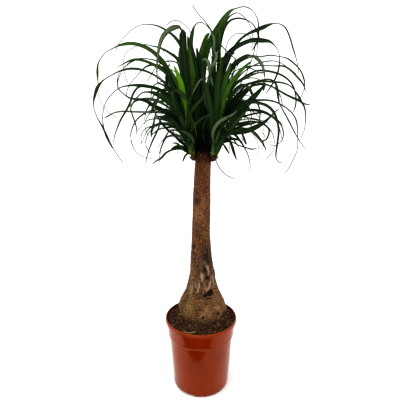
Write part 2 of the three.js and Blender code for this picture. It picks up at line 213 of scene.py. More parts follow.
# A small repeatable random source, the same as the one in the model's source
class Draw:
    def __init__(self, seed):
        self.state = seed & 0xFFFFFFFF

    def __call__(self, low=0.0, high=1.0):
        self.state = (self.state * 1664525 + 1013904223) & 0xFFFFFFFF
        return mix(low, high, self.state / 4294967296)


# Smooth noise from -1 to 1 at many places at once
def grain(places, size, seed=0):
    where = np.asarray(places, float) / size + 100.37 * (seed + 1)
    cell = np.floor(where).astype(np.int64)
    inside = where - cell
    eased = inside * inside * (3 - 2 * inside)
    total = 0
    for corner in np.ndindex(2, 2, 2):
        key = (cell + corner) * np.array([73856093, 19349663, 83492791])
        key = key[:, 0] ^ key[:, 1] ^ key[:, 2] ^ (seed * 2654435)
        key = ((key ^ (key >> 13)) * 1274126177) & 0x7FFFFFFF
        key = ((key ^ (key >> 15)) * 2246822519) & 0x7FFFFFFF
        value = ((key >> 7) & 0xFFFF) / 32767.5 - 1
        weight = np.prod(np.where(corner, eased, 1 - eased), axis=1)
        total = total + value * weight
    return total


# Quads between rings of points, from below upwards
def ringFaces(rings, sides):
    faces = []
    for low in range(0, (rings - 1) * sides, sides):
        for i in range(sides):
            j = (i + 1) % sides
            faces.append((low + i, low + j, low + j + sides, low + i + sides))
    return faces


# The same, closed round two last points: one under the first ring and one over the last
def closedFaces(rings, sides):
    faces = ringFaces(rings, sides)
    last = (rings - 1) * sides
    for i in range(sides):
        j = (i + 1) % sides
        faces += [(rings * sides, j, i), (rings * sides + 1, last + i, last + j)]
    return faces


# Points, faces and the marks on each point of a piece, gathered part by part
class Parts:
    def __init__(self, *marks):
        self.points, self.faces, self.marks = [], [], {mark: [] for mark in marks}

    def add(self, points, faces, **marks):
        start = len(self.points)
        self.points.extend(map(tuple, points))
        self.faces.extend(tuple(start + corner for corner in face) for face in faces)
        for mark, values in self.marks.items():
            values.extend(np.broadcast_to(marks.get(mark, 0.0), len(points)).tolist())


def newObject(name, data, look=None):
    made = bpy.data.objects.new(name, data)
    bpy.context.scene.collection.objects.link(made)
    if look:
        data.materials.append(look.material)
    return made


# A new piece from points in millimetres, riding on the one body and standing for a node of the model
def makePiece(name, parts, look, node):
    mesh = bpy.data.meshes.new(name)
    mesh.from_pydata((np.array(parts.points) * mm).tolist(), [], parts.faces)
    for mark, values in parts.marks.items():
        mesh.attributes.new(mark, "FLOAT", "POINT").data.foreach_set("value", values)
    mesh.polygons.foreach_set("use_smooth", [True] * len(mesh.polygons))
    piece = newObject(name, mesh, look)
    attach(piece, "root")
    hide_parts(node)
    return piece


# Centripetal curve through some places: where it is and which way it heads at each share
def curve(places, shares):
    places = np.asarray(places, float)
    full = np.vstack([2 * places[0] - places[1], places, 2 * places[-1] - places[-2]])
    spot = shares * (len(places) - 1)
    index = np.minimum(spot.astype(int), len(places) - 2)
    weight = (spot - index)[:, None]
    p0, p1, p2, p3 = (full[index + k] for k in range(4))
    d0, d1, d2 = (np.maximum(np.sum((b - a) ** 2, axis=1)[:, None] ** 0.25, 1e-4)
                  for a, b in ((p0, p1), (p1, p2), (p2, p3)))
    t1 = ((p1 - p0) / d0 - (p2 - p0) / (d0 + d1) + (p2 - p1) / d1) * d1
    t2 = ((p2 - p1) / d1 - (p3 - p1) / (d1 + d2) + (p3 - p2) / d2) * d1
    c2, c3 = -3 * p1 + 3 * p2 - 2 * t1 - t2, 2 * p1 - 2 * p2 + t1 + t2
    where = p1 + t1 * weight + c2 * weight ** 2 + c3 * weight ** 3
    heading = t1 + 2 * c2 * weight + 3 * c3 * weight ** 2
    return where, heading / np.linalg.norm(heading, axis=1)[:, None]


# A round strand through some places, of one thickness or of one for each place
def strand(path, thick, sides, taper=0.5):
    path = np.asarray(path, float)
    thick = np.broadcast_to(thick, len(path))
    ahead = np.gradient(path, axis=0)
    ahead /= np.linalg.norm(ahead, axis=1)[:, None]
    side = np.cross(ahead, [0.13, 0.21, 0.97])
    side /= np.linalg.norm(side, axis=1)[:, None]
    up = np.cross(ahead, side)
    points = []
    for i in range(len(path)):
        share = i / (len(path) - 1)
        wide = thick[i] * (1 - taper * abs(2 * share - 1) ** 3)
        for k in range(sides):
            turn = 2 * math.pi * k / sides
            points.append(path[i] + wide * (math.cos(turn) * side[i] + math.sin(turn) * up[i]))
    ends = [tuple(range(sides))[::-1], tuple(range((len(path) - 1) * sides, len(path) * sides))]
    return points, ringFaces(len(path), sides) + ends


# A rough ball, for the crumbs of soil
def pebble(centre, size, draw, rows, sides, rough):
    points = []
    for row in range(1, rows):
        slope = math.pi * row / rows
        for i in range(sides):
            turn = 2 * math.pi * i / sides
            swell = 1 + draw(-rough, rough)
            points.append([centre[0] + size[0] * swell * math.sin(slope) * math.cos(turn),
                           centre[1] + size[1] * swell * math.sin(slope) * math.sin(turn),
                           centre[2] - size[2] * swell * math.cos(slope)])
    points += [[centre[0], centre[1], centre[2] - size[2]], [centre[0], centre[1], centre[2] + size[2]]]
    return points, closedFaces(rows - 1, sides)


# Camera, lights and floor

studio = {
    "camera": (-3.4, -1104, 894), "pitch": 12.7, "lens": 32.4, "sensor": 36,
    "floorRadius": 9000, "surround": 1.0,
    # the corners of the card, and how high it lies
    "card": [(-480, -134), (-480, -420), (450, -420), (450, -349)], "cardHeight": 2,
    # name, where it hangs, what it looks at, size, watts
    "lamps": [
        ("top", (-500, -500, 2700), (0, 0, 700), 1500, 17),
        ("left", (-2300, -900, 1300), (0, 0, 500), 1200, 7),
        ("right", (2300, -700, 1200), (0, 0, 500), 1200, 5),
    ],
}


def stageLook(name, scale, dark, light, **constants):
    look = Look(name, **constants)
    look.shade(Base_Color=look.ramp(look.cloud(scale), (0.3, dark), (0.7, light)))
    return look


def makeStudio():
    scene = bpy.context.scene
    camera = newObject("camera", bpy.data.cameras.new("camera"))
    camera.data.lens = studio["lens"]
    camera.data.sensor_width = studio["sensor"]
    camera.location = Vector(studio["camera"]) * mm
    camera.rotation_euler = (math.radians(90 - studio["pitch"]), 0, 0)
    scene.camera = camera

    for name, where, target, size, watts in studio["lamps"]:
        lamp = newObject("lamp_" + name, bpy.data.lights.new("lamp_" + name, "AREA"))
        lamp.data.shape = "DISK"
        lamp.data.size = size * mm
        lamp.data.energy = watts
        lamp.location = Vector(where) * mm
        aim = Vector(target) * mm - lamp.location
        lamp.rotation_euler = aim.to_track_quat("-Z", "Y").to_euler()

    surround = bpy.data.worlds.new("surround")
    surround.use_nodes = True
    background = surround.node_tree.nodes["Background"]
    background.inputs["Color"].default_value = (1, 1, 1, 1)
    background.inputs["Strength"].default_value = studio["surround"]
    scene.world = surround
    scene.view_settings.view_transform = "Standard"
    scene.view_settings.look = "High Contrast"

    mesh = bpy.data.meshes.new("floor")
    shape = bmesh.new()
    bmesh.ops.create_circle(shape, cap_ends=True, segments=64, radius=studio["floorRadius"] * mm)
    shape.to_mesh(mesh)
    shape.free()
    paper = stageLook("pale_floor", 3, (0.93, 0.93, 0.92, 1), (0.95, 0.95, 0.94, 1),
                      Roughness=0.9, Specular_IOR_Level=0.1)
    floor = newObject("floor", mesh, paper)

    # a dark card lies in front of the pot, out of the camera's sight, and shows only in the pot's gloss
    mesh = bpy.data.meshes.new("dark_card")
    corners = [Vector((x, y, studio["cardHeight"])) * mm for x, y in studio["card"]]
    mesh.from_pydata(corners, [], [(0, 1, 2, 3)])
    cloth = stageLook("dark_card", 5, (0.004, 0.004, 0.004, 1), (0.008, 0.008, 0.008, 1),
                      Roughness=0.95, Specular_IOR_Level=0)
    card = newObject("dark_card", mesh, cloth)
    card.visible_camera = False
    card.visible_diffuse = False


makeStudio()
print("studio set")


# Pot

pot = {
    "height": 245, "rimRadius": 120, "wall": 1.6,
    "outline": [(94.3, 10), (95.4, 30), (103.2, 140), (107.1, 188.2), (111.2, 193), (115.3, 233)],
    "ridgeHeight": 190, "ridgeProud": 3, "lipHeight": 11, "lipThickness": 1.8,
    "footRadius": 88, "footRingWidth": 8.5, "floorRise": 9, "floorThickness": 2, "centrePadRadius": 32,
    "notches": 3, "notchWidth": 45, "notchHeight": 8.5, "notchLength": 38.5, "notchCorner": 3,
    "firstNotchAngle": 241, "drainHoles": 6, "drainHoleRadius": 6, "drainHoleHeight": 10, "drainHoleDepth": 8,
    "sides": 288, "rounding": 0.55, "sharpAngle": 38, "chip": (0.0693, -0.0769, 0.153),  # the chip in metres
    # heights between which the wall waves, and where dirt, and wear with painted highlight, begin and end
    "waveFrom": (14, 60), "waveTo": (200, 240), "footGrime": (2, 20), "mouthGrime": 236, "mouthRadius": 117.5,
    "wearHighlightLip": (242.5, 244.5), "wearHighlightRadius": 117, "wearHighlightRidge": 190.5, "wearHighlightHalf": 1.2,
}


def wallRadius(height):
    outline = np.array(pot["outline"])
    return float(np.interp(height, outline[:, 1], outline[:, 0]))


# The wall, lip and floor as one closed profile of (radius, height), the outside first
def potProfile():
    wall, height, rim = pot["wall"], pot["height"], pot["rimRadius"]
    pad, foot, rise = pot["centrePadRadius"], pot["footRadius"], pot["floorRise"]
    skirt, underLip = rim - pot["lipThickness"], height - pot["lipHeight"]
    inRing, floorTop = foot - pot["footRingWidth"], rise + pot["floorThickness"]
    under = [(0, 0), (pad, 0), (pad + 5, rise), (inRing - 1, rise), (inRing, 0), (foot, 0), (foot + 4.4, 3.5)]
    low = [point for point in pot["outline"] if point[1] < pot["ridgeHeight"]]
    high = [point for point in pot["outline"] if point[1] > pot["ridgeHeight"]]
    ridge = [(wallRadius(pot["ridgeHeight"]) + pot["ridgeProud"], pot["ridgeHeight"])]
    lip = [(skirt - wall, height - 3.5), (skirt, height - 4), (skirt, underLip), (rim - 0.5, underLip),
           (rim, height - 8), (rim - 0.2, height - 4.5), (rim - 1.1, height - 1.6), (skirt - 0.9, height)]
    mouth = skirt - 2 * wall
    inside = [(mouth, height), (mouth - 1, height - 4)]
    inside += [(radius - wall, z) for radius, z in reversed(pot["outline"][1:-1])]
    bottom = [(pot["outline"][0][0] - wall, floorTop), (pad + 4, floorTop), (pad - 1, pot["floorThickness"]),
              (0, pot["floorThickness"])]
    return under + low + ridge + high + lip + inside + bottom


# The same profile with each corner rounded and each long stretch split
def rounded(profile, radius, longest=14):
    points = [np.array(point, float) for point in profile]
    made = [points[0]]
    for before, corner, after in zip(points, points[1:], points[2:]):
        back, on = before - corner, after - corner
        backLength, onLength = np.linalg.norm(back), np.linalg.norm(on)
        reach = min(radius, 0.45 * backLength, 0.45 * onLength)
        start = corner + back / backLength * reach
        end = corner + on / onLength * reach
        for share in (0, 0.5, 1):
            made.append(mix(mix(start, corner, share), mix(corner, end, share), share))
    made.append(points[-1])
    split = [made[0]]
    for point in made[1:]:
        count = max(1, math.ceil(np.linalg.norm(point - split[-1]) / longest))
        first = split[-1]
        split += [mix(first, point, step / count) for step in range(1, count + 1)]
    return split


def cutAway(piece, cutter):
    cut = piece.modifiers.new("cut", "BOOLEAN")
    cut.operation, cut.solver, cut.object = "DIFFERENCE", "EXACT", cutter
    applied = bpy.data.meshes.new_from_object(piece.evaluated_get(bpy.context.evaluated_depsgraph_get()))
    piece.modifiers.clear()
    piece.data = applied
    bpy.data.objects.remove(cutter)


# The notches of the foot ring and the drain holes, as one body to take away
def cutters(look):
    shape = bmesh.new()
    for i in range(pot["notches"]):
        made = bmesh.ops.create_cube(shape, size=1)["verts"]
        size = Vector((pot["notchLength"], pot["notchWidth"], 2 * pot["notchHeight"])) * mm
        bmesh.ops.scale(shape, vec=size, verts=made)
        lengthwise = {edge for point in made for edge in point.link_edges
                      if abs(edge.verts[0].co.x - edge.verts[1].co.x) > size.x / 2}
        rounding = bmesh.ops.bevel(shape, geom=list(lengthwise), offset=pot["notchCorner"] * mm, segments=4,
                                   affect="EDGES", profile=0.5)
        made = list({point for face in rounding["faces"] for point in face.verts}
                    | {point for point in made if point.is_valid})
        bmesh.ops.translate(shape, vec=(pot["footRadius"] * mm, 0, 0), verts=made)
        turn = math.radians(pot["firstNotchAngle"] + 360 / pot["notches"] * i)
        bmesh.ops.rotate(shape, matrix=Matrix.Rotation(turn, 3, "Z"), verts=made)
    holeRing = (pot["centrePadRadius"] + pot["footRadius"] - pot["footRingWidth"]) / 2 + 2
    for i in range(pot["drainHoles"]):
        turn = math.radians(360 / pot["drainHoles"] * (i + 0.5))
        radius = pot["drainHoleRadius"] * mm
        made = bmesh.ops.create_cone(shape, cap_ends=True, segments=28, radius1=radius, radius2=radius,
                                     depth=pot["drainHoleDepth"] * mm)["verts"]
        where = holeRing * level(turn) + [0, 0, pot["drainHoleHeight"]]
        bmesh.ops.translate(shape, verts=made, vec=Vector(where) * mm)
    mesh = bpy.data.meshes.new("cutter")
    shape.to_mesh(mesh)
    shape.free()
    return newObject("cutter", mesh, look)


def terracottaPlastic():
    look = Look("terracotta_plastic", Metallic=0, Specular_IOR_Level=0.42, Specular_Tint=(1, 0.62, 0.34, 1))
    body = look.ramp(look.cloud(9, 3), (0.3, tone(117, 36, 1)), (0.7, tone(124, 41, 2)))
    # faint darker streaks that run slanting down the wall
    slanted = look.add("ShaderNodeVectorRotate", {"rotation_type": "Y_AXIS"},
                       {"Vector": look.place(), "Angle": 0.35})
    streak = look.cloud(1, 3, 0.5, look.stretched(24, 24, 3, slanted)).rise(0.48, 0.72)
    body = body.under(tone(100, 27, 1), streak * 0.6)
    # scuffs, dust and dried splashes near the foot and under the lip
    dust = look.cloud(210, 3, 0.7).rise(0.66, 0.8) * look.cloud(14, 2).rise(0.5, 0.7)
    body = body.under(tone(132, 78, 56), dust * 0.1)
    body = body.under(tone(60, 28, 18), look.drawn("grime") * look.cloud(120, 4, 0.7).rise(0.4, 0.7) * 0.7)
    # lighter on the lip's top and along the ridge: partly wear, partly painted highlight
    body = body.under(tone(150, 66, 34), look.drawn("worn") * 0.6)
    fromChip = look.add("ShaderNodeVectorMath", {"operation": "DISTANCE"},
                        {0: look.place(), 1: pot["chip"]}, "Value")
    body = body.under(tone(70, 22, 12), 1 - (fromChip + 0.003 * look.cloud(300, 2)).rise(0.003, 0.0048))
    scratch = look.cloud(1, 2, 0.5, look.stretched(260, 260, 9)).rise(0.64, 0.72)
    look.shade(Base_Color=body, Roughness=0.1 + 0.06 * look.cloud(38, 3) + 0.1 * scratch + 0.3 * dust)
    look.relief(look.cloud(22, 2) + 0.15 * scratch + 0.06 * look.cloud(600, 2), 0.0006, 0.16)
    return look


def makePot():
    look = terracottaPlastic()
    profile = np.array(rounded(potProfile(), pot["rounding"]))
    rings, sides = profile[1:-1], pot["sides"]
    parts = Parts("grime", "worn")
    radius, height = np.repeat(rings[:, 0], sides), np.repeat(rings[:, 1], sides)
    angle = np.tile(np.arange(sides) / sides * 2 * math.pi, len(rings))
    # a moulded wall is never quite even: long shallow waves
    wave = 0.25 * np.sin(3 * angle + height / 40) + 0.15 * np.sin(7 * angle - height / 25)
    radius = radius + wave * smoothly(height, *pot["waveFrom"]) * (1 - smoothly(height, *pot["waveTo"]))
    points = np.stack([radius * np.cos(angle), radius * np.sin(angle), height], axis=1)
    points = np.vstack([points, [[0, 0, profile[0][1]], [0, 0, profile[-1][1]]]])
    grime = 0.6 * (1 - smoothly(height, *pot["footGrime"]))
    grime += 0.9 * (height > pot["mouthGrime"]) * (radius < pot["mouthRadius"])
    # wear and painted highlight on the lip's top and along the ridge
    worn = smoothly(height, *pot["wearHighlightLip"]) * (radius > pot["wearHighlightRadius"])
    worn += 0.5 * (abs(height - pot["wearHighlightRidge"]) < pot["wearHighlightHalf"])
    parts.add(points, closedFaces(len(rings), sides), grime=np.append(grime, [0, 0]),
              worn=np.append(worn, [0, 0]))
    piece = makePiece("nursery_pot", parts, look, "pot")
    cutAway(piece, cutters(look))
    piece.data.polygons.foreach_set("use_smooth", [True] * len(piece.data.polygons))
    piece.data.set_sharp_from_angle(angle=math.radians(pot["sharpAngle"]))


makePot()
print("pot made")


# Crown: where its leafy heads stand, which their knobs on the trunk need as well as their leaves

crown = {
    # its middle, to the right and to the back, and the height that the stems start from
    "axis": (6, 4), "headFoot": 779,
    # where each stem starts from the middle, its lean and radius, the size of its knob, and the sector and
    # number of the leaves that the model's source grows
    "heads": [
        {"name": "leaf_head_left", "azimuth": 188, "away": 29, "lean": 11.5, "stem": 11, "knob": 0.66,
         "from": 156, "to": 260, "leaves": 5, "seed": 24},
        {"name": "leaf_head_right", "azimuth": 350, "away": 32, "lean": 11, "stem": 11,
         "from": 260, "to": 380, "leaves": 5, "seed": 9},
        {"name": "leaf_head_back_right", "azimuth": 58, "away": 25, "lean": 9, "stem": 9,
         "from": 20, "to": 96, "leaves": 17, "seed": 35},
        {"name": "leaf_head_back_left", "azimuth": 126, "away": 25, "lean": 9, "stem": 9,
         "from": 96, "to": 156, "leaves": 15, "seed": 46},
    ],
}


# Where a head's stem starts, and which way it leans
def headFrame(head):
    outward, lean = level(math.radians(head["azimuth"])), math.radians(head["lean"])
    foot = head["away"] * outward + [*crown["axis"], crown["headFoot"]]
    return foot, math.sin(lean) * outward + [0, 0, math.cos(lean)]


# Trunk

trunk = {
    # height and radius
    "profile": [
        (152, 0), (158, 17), (188, 48), (226, 71), (246, 77.5), (262, 80.5), (278, 80), (292, 76.5),
        (306, 70), (322, 61.5), (342, 53), (370, 45.5), (405, 39.5), (445, 35.5), (490, 32), (540, 29.4),
        (600, 28.7), (660, 27.2), (710, 25), (765, 23.9), (786, 21)],
    # height, and how far the trunk's middle stands to the right and to the back there
    "wander": [
        (152, 4, 10), (280, 4, 10), (400, 4.5, 7), (460, 0.5, 5), (540, -1, 4), (620, 1.5, 3), (700, 3.5, 3),
        (790, 6, 4)],
    # heights of the rows of points: from, to and how many in the soil; from, to and step above it
    "sides": 208, "buriedRows": (153, 234, 14), "bareRows": (236, 786, 1.75), "seed": 77,
    # where the bark has cracked away: angle, height, half width, half height, depth
    "hollows": [
        (299, 345, 14, 11, 8), (283, 340, 12, 4, 4), (292, 330, 20, 2.2, 2.5), (310, 281, 6, 4, 3.5),
        (272, 276, 5, 5, 3.5), (260, 284, 4, 4, 2.5), (291, 396, 5, 8, 2.5), (40, 350, 12, 8, 4),
        (130, 300, 6, 5, 3), (180, 392, 5, 10, 2.5)],
    # standing flakes and folds of bark: angle and height of both ends, half width, how proud they stand
    "flakes": [
        (232, 388, 223, 338, 3.0, 1.8), (243, 378, 236, 346, 3.4, 1.6), (266, 408, 277, 372, 3.6, 2.0),
        (282, 364, 290, 350, 3.0, 2.2), (305, 380, 292, 356, 4.0, 2.6), (322, 400, 327, 362, 3.0, 1.6),
        (256, 376, 252, 352, 3.0, 1.4), (300, 430, 304, 404, 4.0, 1.5), (352, 412, 356, 392, 3.0, 2.4),
        (284, 452, 287, 436, 3.0, 1.2), (20, 400, 12, 345, 3.2, 1.8), (60, 390, 70, 342, 3.2, 1.8),
        (105, 405, 98, 350, 3.2, 1.8), (150, 395, 160, 345, 3.2, 1.8), (190, 400, 184, 352, 3.2, 1.8)],
    # dark weathered patches, and then moss: angle, height, half width, half height, strength
    "patches": [
        (297, 468, 15, 32, 1), (282, 424, 9, 22, 1), (318, 446, 8, 26, 0.6), (300, 398, 6, 16, 0.9),
        (236, 656, 10, 24, 0.95), (225, 499, 5, 9, 1), (250, 745, 14, 22, 0.45), (250, 540, 7, 30, 0.4),
        (302, 600, 6, 40, 0.35), (60, 480, 14, 30, 0.9), (120, 640, 12, 30, 0.8), (170, 560, 9, 34, 0.6),
        (20, 690, 12, 26, 0.5)],
    "moss": [(208, 300, 34, 50, 1), (224, 290, 14, 14, 1), (200, 350, 14, 30, 1), (240, 308, 10, 12, 1)],
    # the knobs that the heads sprout from
    "knobRoot": 764, "knobBend": 772, "knobRadii": [4, 7, 10, 11, 10], "knobSpots": [0, 0.35, 0.7, 0.88, 1],
    "knobRings": 14, "knobSides": 30, "knobRadius": 12.5,
    # the dry leaf bases on the knobs and on the trunk's top; the stubs among them are painted near-black, as
    # painted shade between the stems
    "sheaths": 4, "scales": 70, "scaleHeights": (762, 781), "rimScales": 60, "rimHeight": 782,
    "stubs": 26, "stubHeight": 781,
}


def wanderAt(height):
    table = np.array(trunk["wander"], float)
    height = np.clip(height, table[0, 0], table[-1, 0])
    upper = np.clip(np.searchsorted(table[:, 0], height, side="right"), 1, len(table) - 1)
    low, high = table[upper - 1], table[upper]
    eased = smoothly(height, low[..., 0], high[..., 0])
    return [mix(low[..., k], high[..., k], eased) for k in (1, 2)]


# How far round the trunk and up it a place is from another, in millimetres
def apart(angle, height, radius, markAngle, markHeight):
    turn = (np.degrees(angle) - markAngle + 180) % 360 - 180
    return np.radians(turn) * radius, height - markHeight


def blot(angle, height, radius, mark):
    across, up = apart(angle, height, radius, mark[0], mark[1])
    return np.exp(-((across / mark[2]) ** 2 + (up / mark[3]) ** 2))


# The strongest of some blots at each place
def blots(angle, height, radius, marks):
    return np.max([mark[4] * blot(angle, height, radius, mark) for mark in marks], axis=0)


# The trunk's skin: how far it stands out at each place, and the masks for its colours
def barkSkin(angle, height, radius):
    solid = np.stack([radius * np.cos(angle), radius * np.sin(angle), height], axis=1)
    bare = smoothly(height, 240, 262) * (1 - smoothly(height, 776, 786))
    furrows = 0.7 * np.sin(7 * angle + height / 38) + 0.6 * np.sin(4 * angle - height / 61 + 1.3)
    foot = np.clip((345 - height) / 60, 0, 1)
    lumps = 1.8 * np.sin(5 * angle + 0.9) * np.sin(height / 13) + 1.3 * np.sin(9 * angle + height / 17)
    out = bare * (furrows + 0.8 * foot * lumps)

    # fine cracks up the stem, corky grains on the foot
    cracks = 1 - np.abs(grain(solid * [1, 1, 0.28], 7, 3)) * 2.2
    cracks = np.clip(cracks, 0, 1) ** 2 * smoothly(height, 300, 360)
    out = out - bare * cracks * (0.55 + 0.7 * smoothly(height, 470, 380))
    grains = grain(solid, 6, 5) + 0.6 * grain(solid, 3, 6)
    out = out + bare * grains * (0.35 + 0.75 * smoothly(height, 350, 310))
    # faint rings of old leaf scars on the upper stem
    out = out + bare * 0.22 * np.sin(height / 1.9 + 1.5 * grain(solid, 20, 8)) * smoothly(height, 420, 520)

    # how dark each dent is painted: painted shade in the hollows
    hollow = np.zeros_like(out)
    for mark in trunk["hollows"]:
        dent = blot(angle, height, radius, mark)
        out = out - bare * mark[4] * dent
        hollow = np.maximum(hollow, dent * min(1, mark[4] / 4))
    flake, roughness = np.zeros_like(out), grain(solid, 5, 11)
    for startAngle, startHeight, endAngle, endHeight, wide, proud in trunk["flakes"]:
        across, up = apart(angle, height, radius, startAngle, startHeight)
        runAcross = math.radians((endAngle - startAngle + 180) % 360 - 180) * radius
        runUp = endHeight - startHeight
        share = np.clip((across * runAcross + up * runUp) / (runAcross ** 2 + runUp ** 2), 0, 1)
        away = np.hypot(across - share * runAcross, up - share * runUp) + 1.6 * roughness
        near = np.exp(-(away / wide) ** 2)
        flake = np.maximum(flake, near)
        out = out + bare * proud * near
    dark, moss = (blots(angle, height, radius, trunk[marks]) for marks in ("patches", "moss"))
    return out, dict(hollow=hollow, flake=flake, dark=dark, moss=moss, crack=cracks)


# The outline's corners are smoothed, apart from those at both ends
def trunkRadius(height):
    table = np.array(trunk["profile"], float)
    rows = np.arange(table[0, 0], table[-1, 0] + 1, 1.0)
    plain = np.interp(rows, table[:, 0], table[:, 1])
    smooth = np.convolve(np.pad(plain, 6, mode="edge"), np.ones(13) / 13, "valid")
    return np.interp(height, rows, np.where((rows < 170) | (rows > 778), plain, smooth))


def bark():
    look = Look("bark", Metallic=0, Specular_IOR_Level=0.2)
    height = look.add("ShaderNodeSeparateXYZ", None, {"Vector": look.place()}, "Z")
    tall = look.stretched(1, 1, 0.3)
    flat = look.stretched(1, 1, 2.2)
    patchy = look.cloud(26, 4, 0.6, tall)
    fibres = look.cloud(320, 5, 0.74, look.stretched(1, 1, 0.45))
    fine = 0.32 * patchy + 0.68 * fibres
    # the stem is redder at its top, greyer and more fibrous towards the foot
    stem = look.tones(fine, 0.39, 0.62, (48, 29, 18), (93, 62, 40), (146, 105, 70))
    upper = look.tones(fine, 0.39, 0.62, (48, 26, 15), (84, 52, 33), (128, 84, 54))
    lower = look.tones(fine, 0.41, 0.62, (32, 21, 16), (80, 57, 42), (154, 121, 93))
    colour = lower.under(stem.under(upper, height.rise(0.60, 0.70)), height.rise(0.44, 0.53))
    # the foot is corky: coarse grains, light ones among dark ones
    grains = 0.35 * look.cloud(34, 4, 0.6) + 0.65 * look.cloud(290, 4, 0.7)
    cork = look.tones(grains, 0.38, 0.64, (46, 32, 20), (98, 71, 44), (166, 132, 90))
    # wet and crumbed where it stands in the soil, and darker under the bulge of the foot as painted shade
    dampAndShade = 1 - (height - 0.03 * look.cloud(44, 3)).rise(0.238, 0.272)
    cork = cork.under(tone(46, 30, 21), dampAndShade * look.cloud(110, 4, 0.7).rise(0.36, 0.56) * 0.85)
    colour = cork.under(colour, (height + 0.05 * look.cloud(30, 3)).rise(0.345, 0.375))
    # orange-tan speckle in small broken rows, and dark pores
    speck = look.cellDraw(230, flat).rise(0.62, 0.86) * (1 - look.cells(230, flat).rise(0.3, 0.75))
    colour = colour.under(tone(158, 112, 70), speck * look.cloud(16, 3).rise(0.34, 0.6) * 0.75)
    pore = look.cells(210, flat).rise(0.62, 0.85) + look.cloud(330, 3, 0.7).rise(0.58, 0.72)
    colour = colour.under(tone(44, 26, 15), pore.atMost(1) * 0.4)
    # what each place of the skin is marked with
    colour = colour.under(tone(46, 27, 16), look.drawn("crack") * (0.55 - 0.4 * height.rise(0.46, 0.56)))
    dark = look.drawn("dark") * look.cloud(74, 4, 0.65, tall).rise(0.3, 0.47)
    colour = colour.under(tone(24, 16, 12), dark * 0.95)
    light = look.drawn("flake") * look.cloud(110, 4, 0.65, tall).rise(0.42, 0.56)
    colour = colour.under(tone(174, 148, 120), light * 0.7)
    moss = look.drawn("moss") * look.cloud(190, 4, 0.7).rise(0.4, 0.56)
    colour = colour.under(tone(62, 56, 18), moss * 0.85)
    # the hollows, and the stubs on the trunk's top, are painted near-black: painted shade
    hollow = (look.drawn("hollow") + 0.5 * look.cloud(120, 3, 0.6) - 0.25).rise(0.2, 0.5)
    colour = colour.under(tone(20, 13, 9), hollow * 0.95)
    dry = look.drawn("dry") * (1 - look.drawn("hollow"))
    colour = colour.under(tone(84, 50, 30), dry * 0.9)
    colour = colour.under(tone(38, 24, 16), dry * look.cloud(120, 4, 0.7).rise(0.42, 0.62) * 0.8)
    look.shade(Base_Color=colour, Roughness=0.82 + 0.12 * look.cloud(80, 2))
    look.relief(0.6 * look.cloud(170, 5, 0.7, flat) + 0.5 * look.cells(150, flat) + 0.6 * fine, 0.0016, 0.8)
    return look


def makeTrunk():
    look = bark()
    parts = Parts("hollow", "flake", "dark", "moss", "crack", "dry")
    sides = trunk["sides"]
    rows = np.concatenate([np.linspace(*trunk["buriedRows"]), np.arange(*trunk["bareRows"])])
    angle = np.tile(np.arange(sides) / sides * 2 * math.pi, len(rows))
    height = np.repeat(rows, sides)
    radius = trunkRadius(height)
    out, masks = barkSkin(angle, height, radius)
    aside, back = wanderAt(height)
    points = np.stack([(radius + out) * np.cos(angle) + aside, (radius + out) * np.sin(angle) + back, height],
                      axis=1)
    low, high = points[0:sides].mean(axis=0), points[-sides:].mean(axis=0)
    points = np.vstack([points, [low - [0, 0, 1]], [high - [0, 0, 1.5]]])
    parts.add(points, closedFaces(len(rows), sides), dry=np.append(smoothly(height, 752, 775), [0, 1]),
              **{mark: np.append(values, [0, 0]) for mark, values in masks.items()})
    for head in crown["heads"]:
        addKnob(parts, head)
    draw = Draw(trunk["seed"])
    for i in range(trunk["scales"]):
        outward, rise = level(i * goldenAngle + draw(-0.3, 0.3)), draw(*trunk["scaleHeights"])
        root = trunkMiddle(rise) + outward * (float(trunkRadius(rise)) - 2.2)
        addScale(parts, root, outward, draw(6, 13), draw(3, 6), draw, 0.75)
    for i in range(trunk["rimScales"]):
        outward = level(i * goldenAngle + draw(-0.3, 0.3))
        root = np.array([crown["axis"][0] - 1, crown["axis"][1], trunk["rimHeight"]]) + outward * draw(15, 20)
        addScale(parts, root, outward, draw(7, 12), draw(3, 5), draw, draw(1.1, 1.8))
    # stubs on the trunk's top, painted near-black: painted shade in the gap between the stems
    for i in range(trunk["stubs"]):
        outward = level(i * goldenAngle)
        root = np.array([*crown["axis"], trunk["stubHeight"]]) + outward * draw(3, 17)
        addScale(parts, root, outward, draw(12, 34), draw(5, 9), draw, draw(1.2, 2.4), 1)
    makePiece("grown_trunk", parts, look, "trunk")


def trunkMiddle(height):
    aside, back = wanderAt(np.array(float(height)))
    return np.array([float(aside), float(back), height])


# The knob that a head sprouts from, with its sheaths and dry leaf bases
def addKnob(parts, head):
    foot, axis = headFrame(head)
    draw = Draw(head["seed"] + 100)
    size = head["stem"] / 11 * head.get("knob", 1)
    start = trunkMiddle(trunk["knobRoot"])
    start[:2] = mix(start[:2], foot[:2], 0.4)
    bend = [*mix(start[:2], foot[:2], 0.6), trunk["knobBend"]]
    shares = np.linspace(0, 1, trunk["knobRings"])
    path, _ = curve([start, bend, foot - 3 * axis, foot + 5 * axis], shares)
    points, faces = strand(path, np.interp(shares, trunk["knobSpots"], trunk["knobRadii"]) * size,
                           trunk["knobSides"], 0)
    points, middle = np.array(points), np.repeat(path, trunk["knobSides"], axis=0)
    rough = 1 + 0.07 * grain(points, 7, 31) + 0.05 * grain(points, 3, 32)
    parts.add(middle + (points - middle) * rough[:, None], faces, dry=0.8, dark=0.35)
    for i in range(trunk["sheaths"]):
        turn = head["azimuth"] + mix(-100, 100, (i + 0.5) / trunk["sheaths"]) + draw(-6, 6)
        outward = level(math.radians(turn))
        root = foot + outward * trunk["knobRadius"] * 0.45 - [0, 0, draw(6, 1)]
        addScale(parts, root, outward, draw(10, 18), 6, draw)
    for i in range(trunk["sheaths"] * 3):
        outward = level(math.radians(head["azimuth"] + draw(-140, 140)))
        root = foot + outward * 10 * size + [0, 0, draw(-10, 3)]
        addScale(parts, root, outward, draw(6, 13), draw(3, 5), draw, draw(0.3, 1.1))


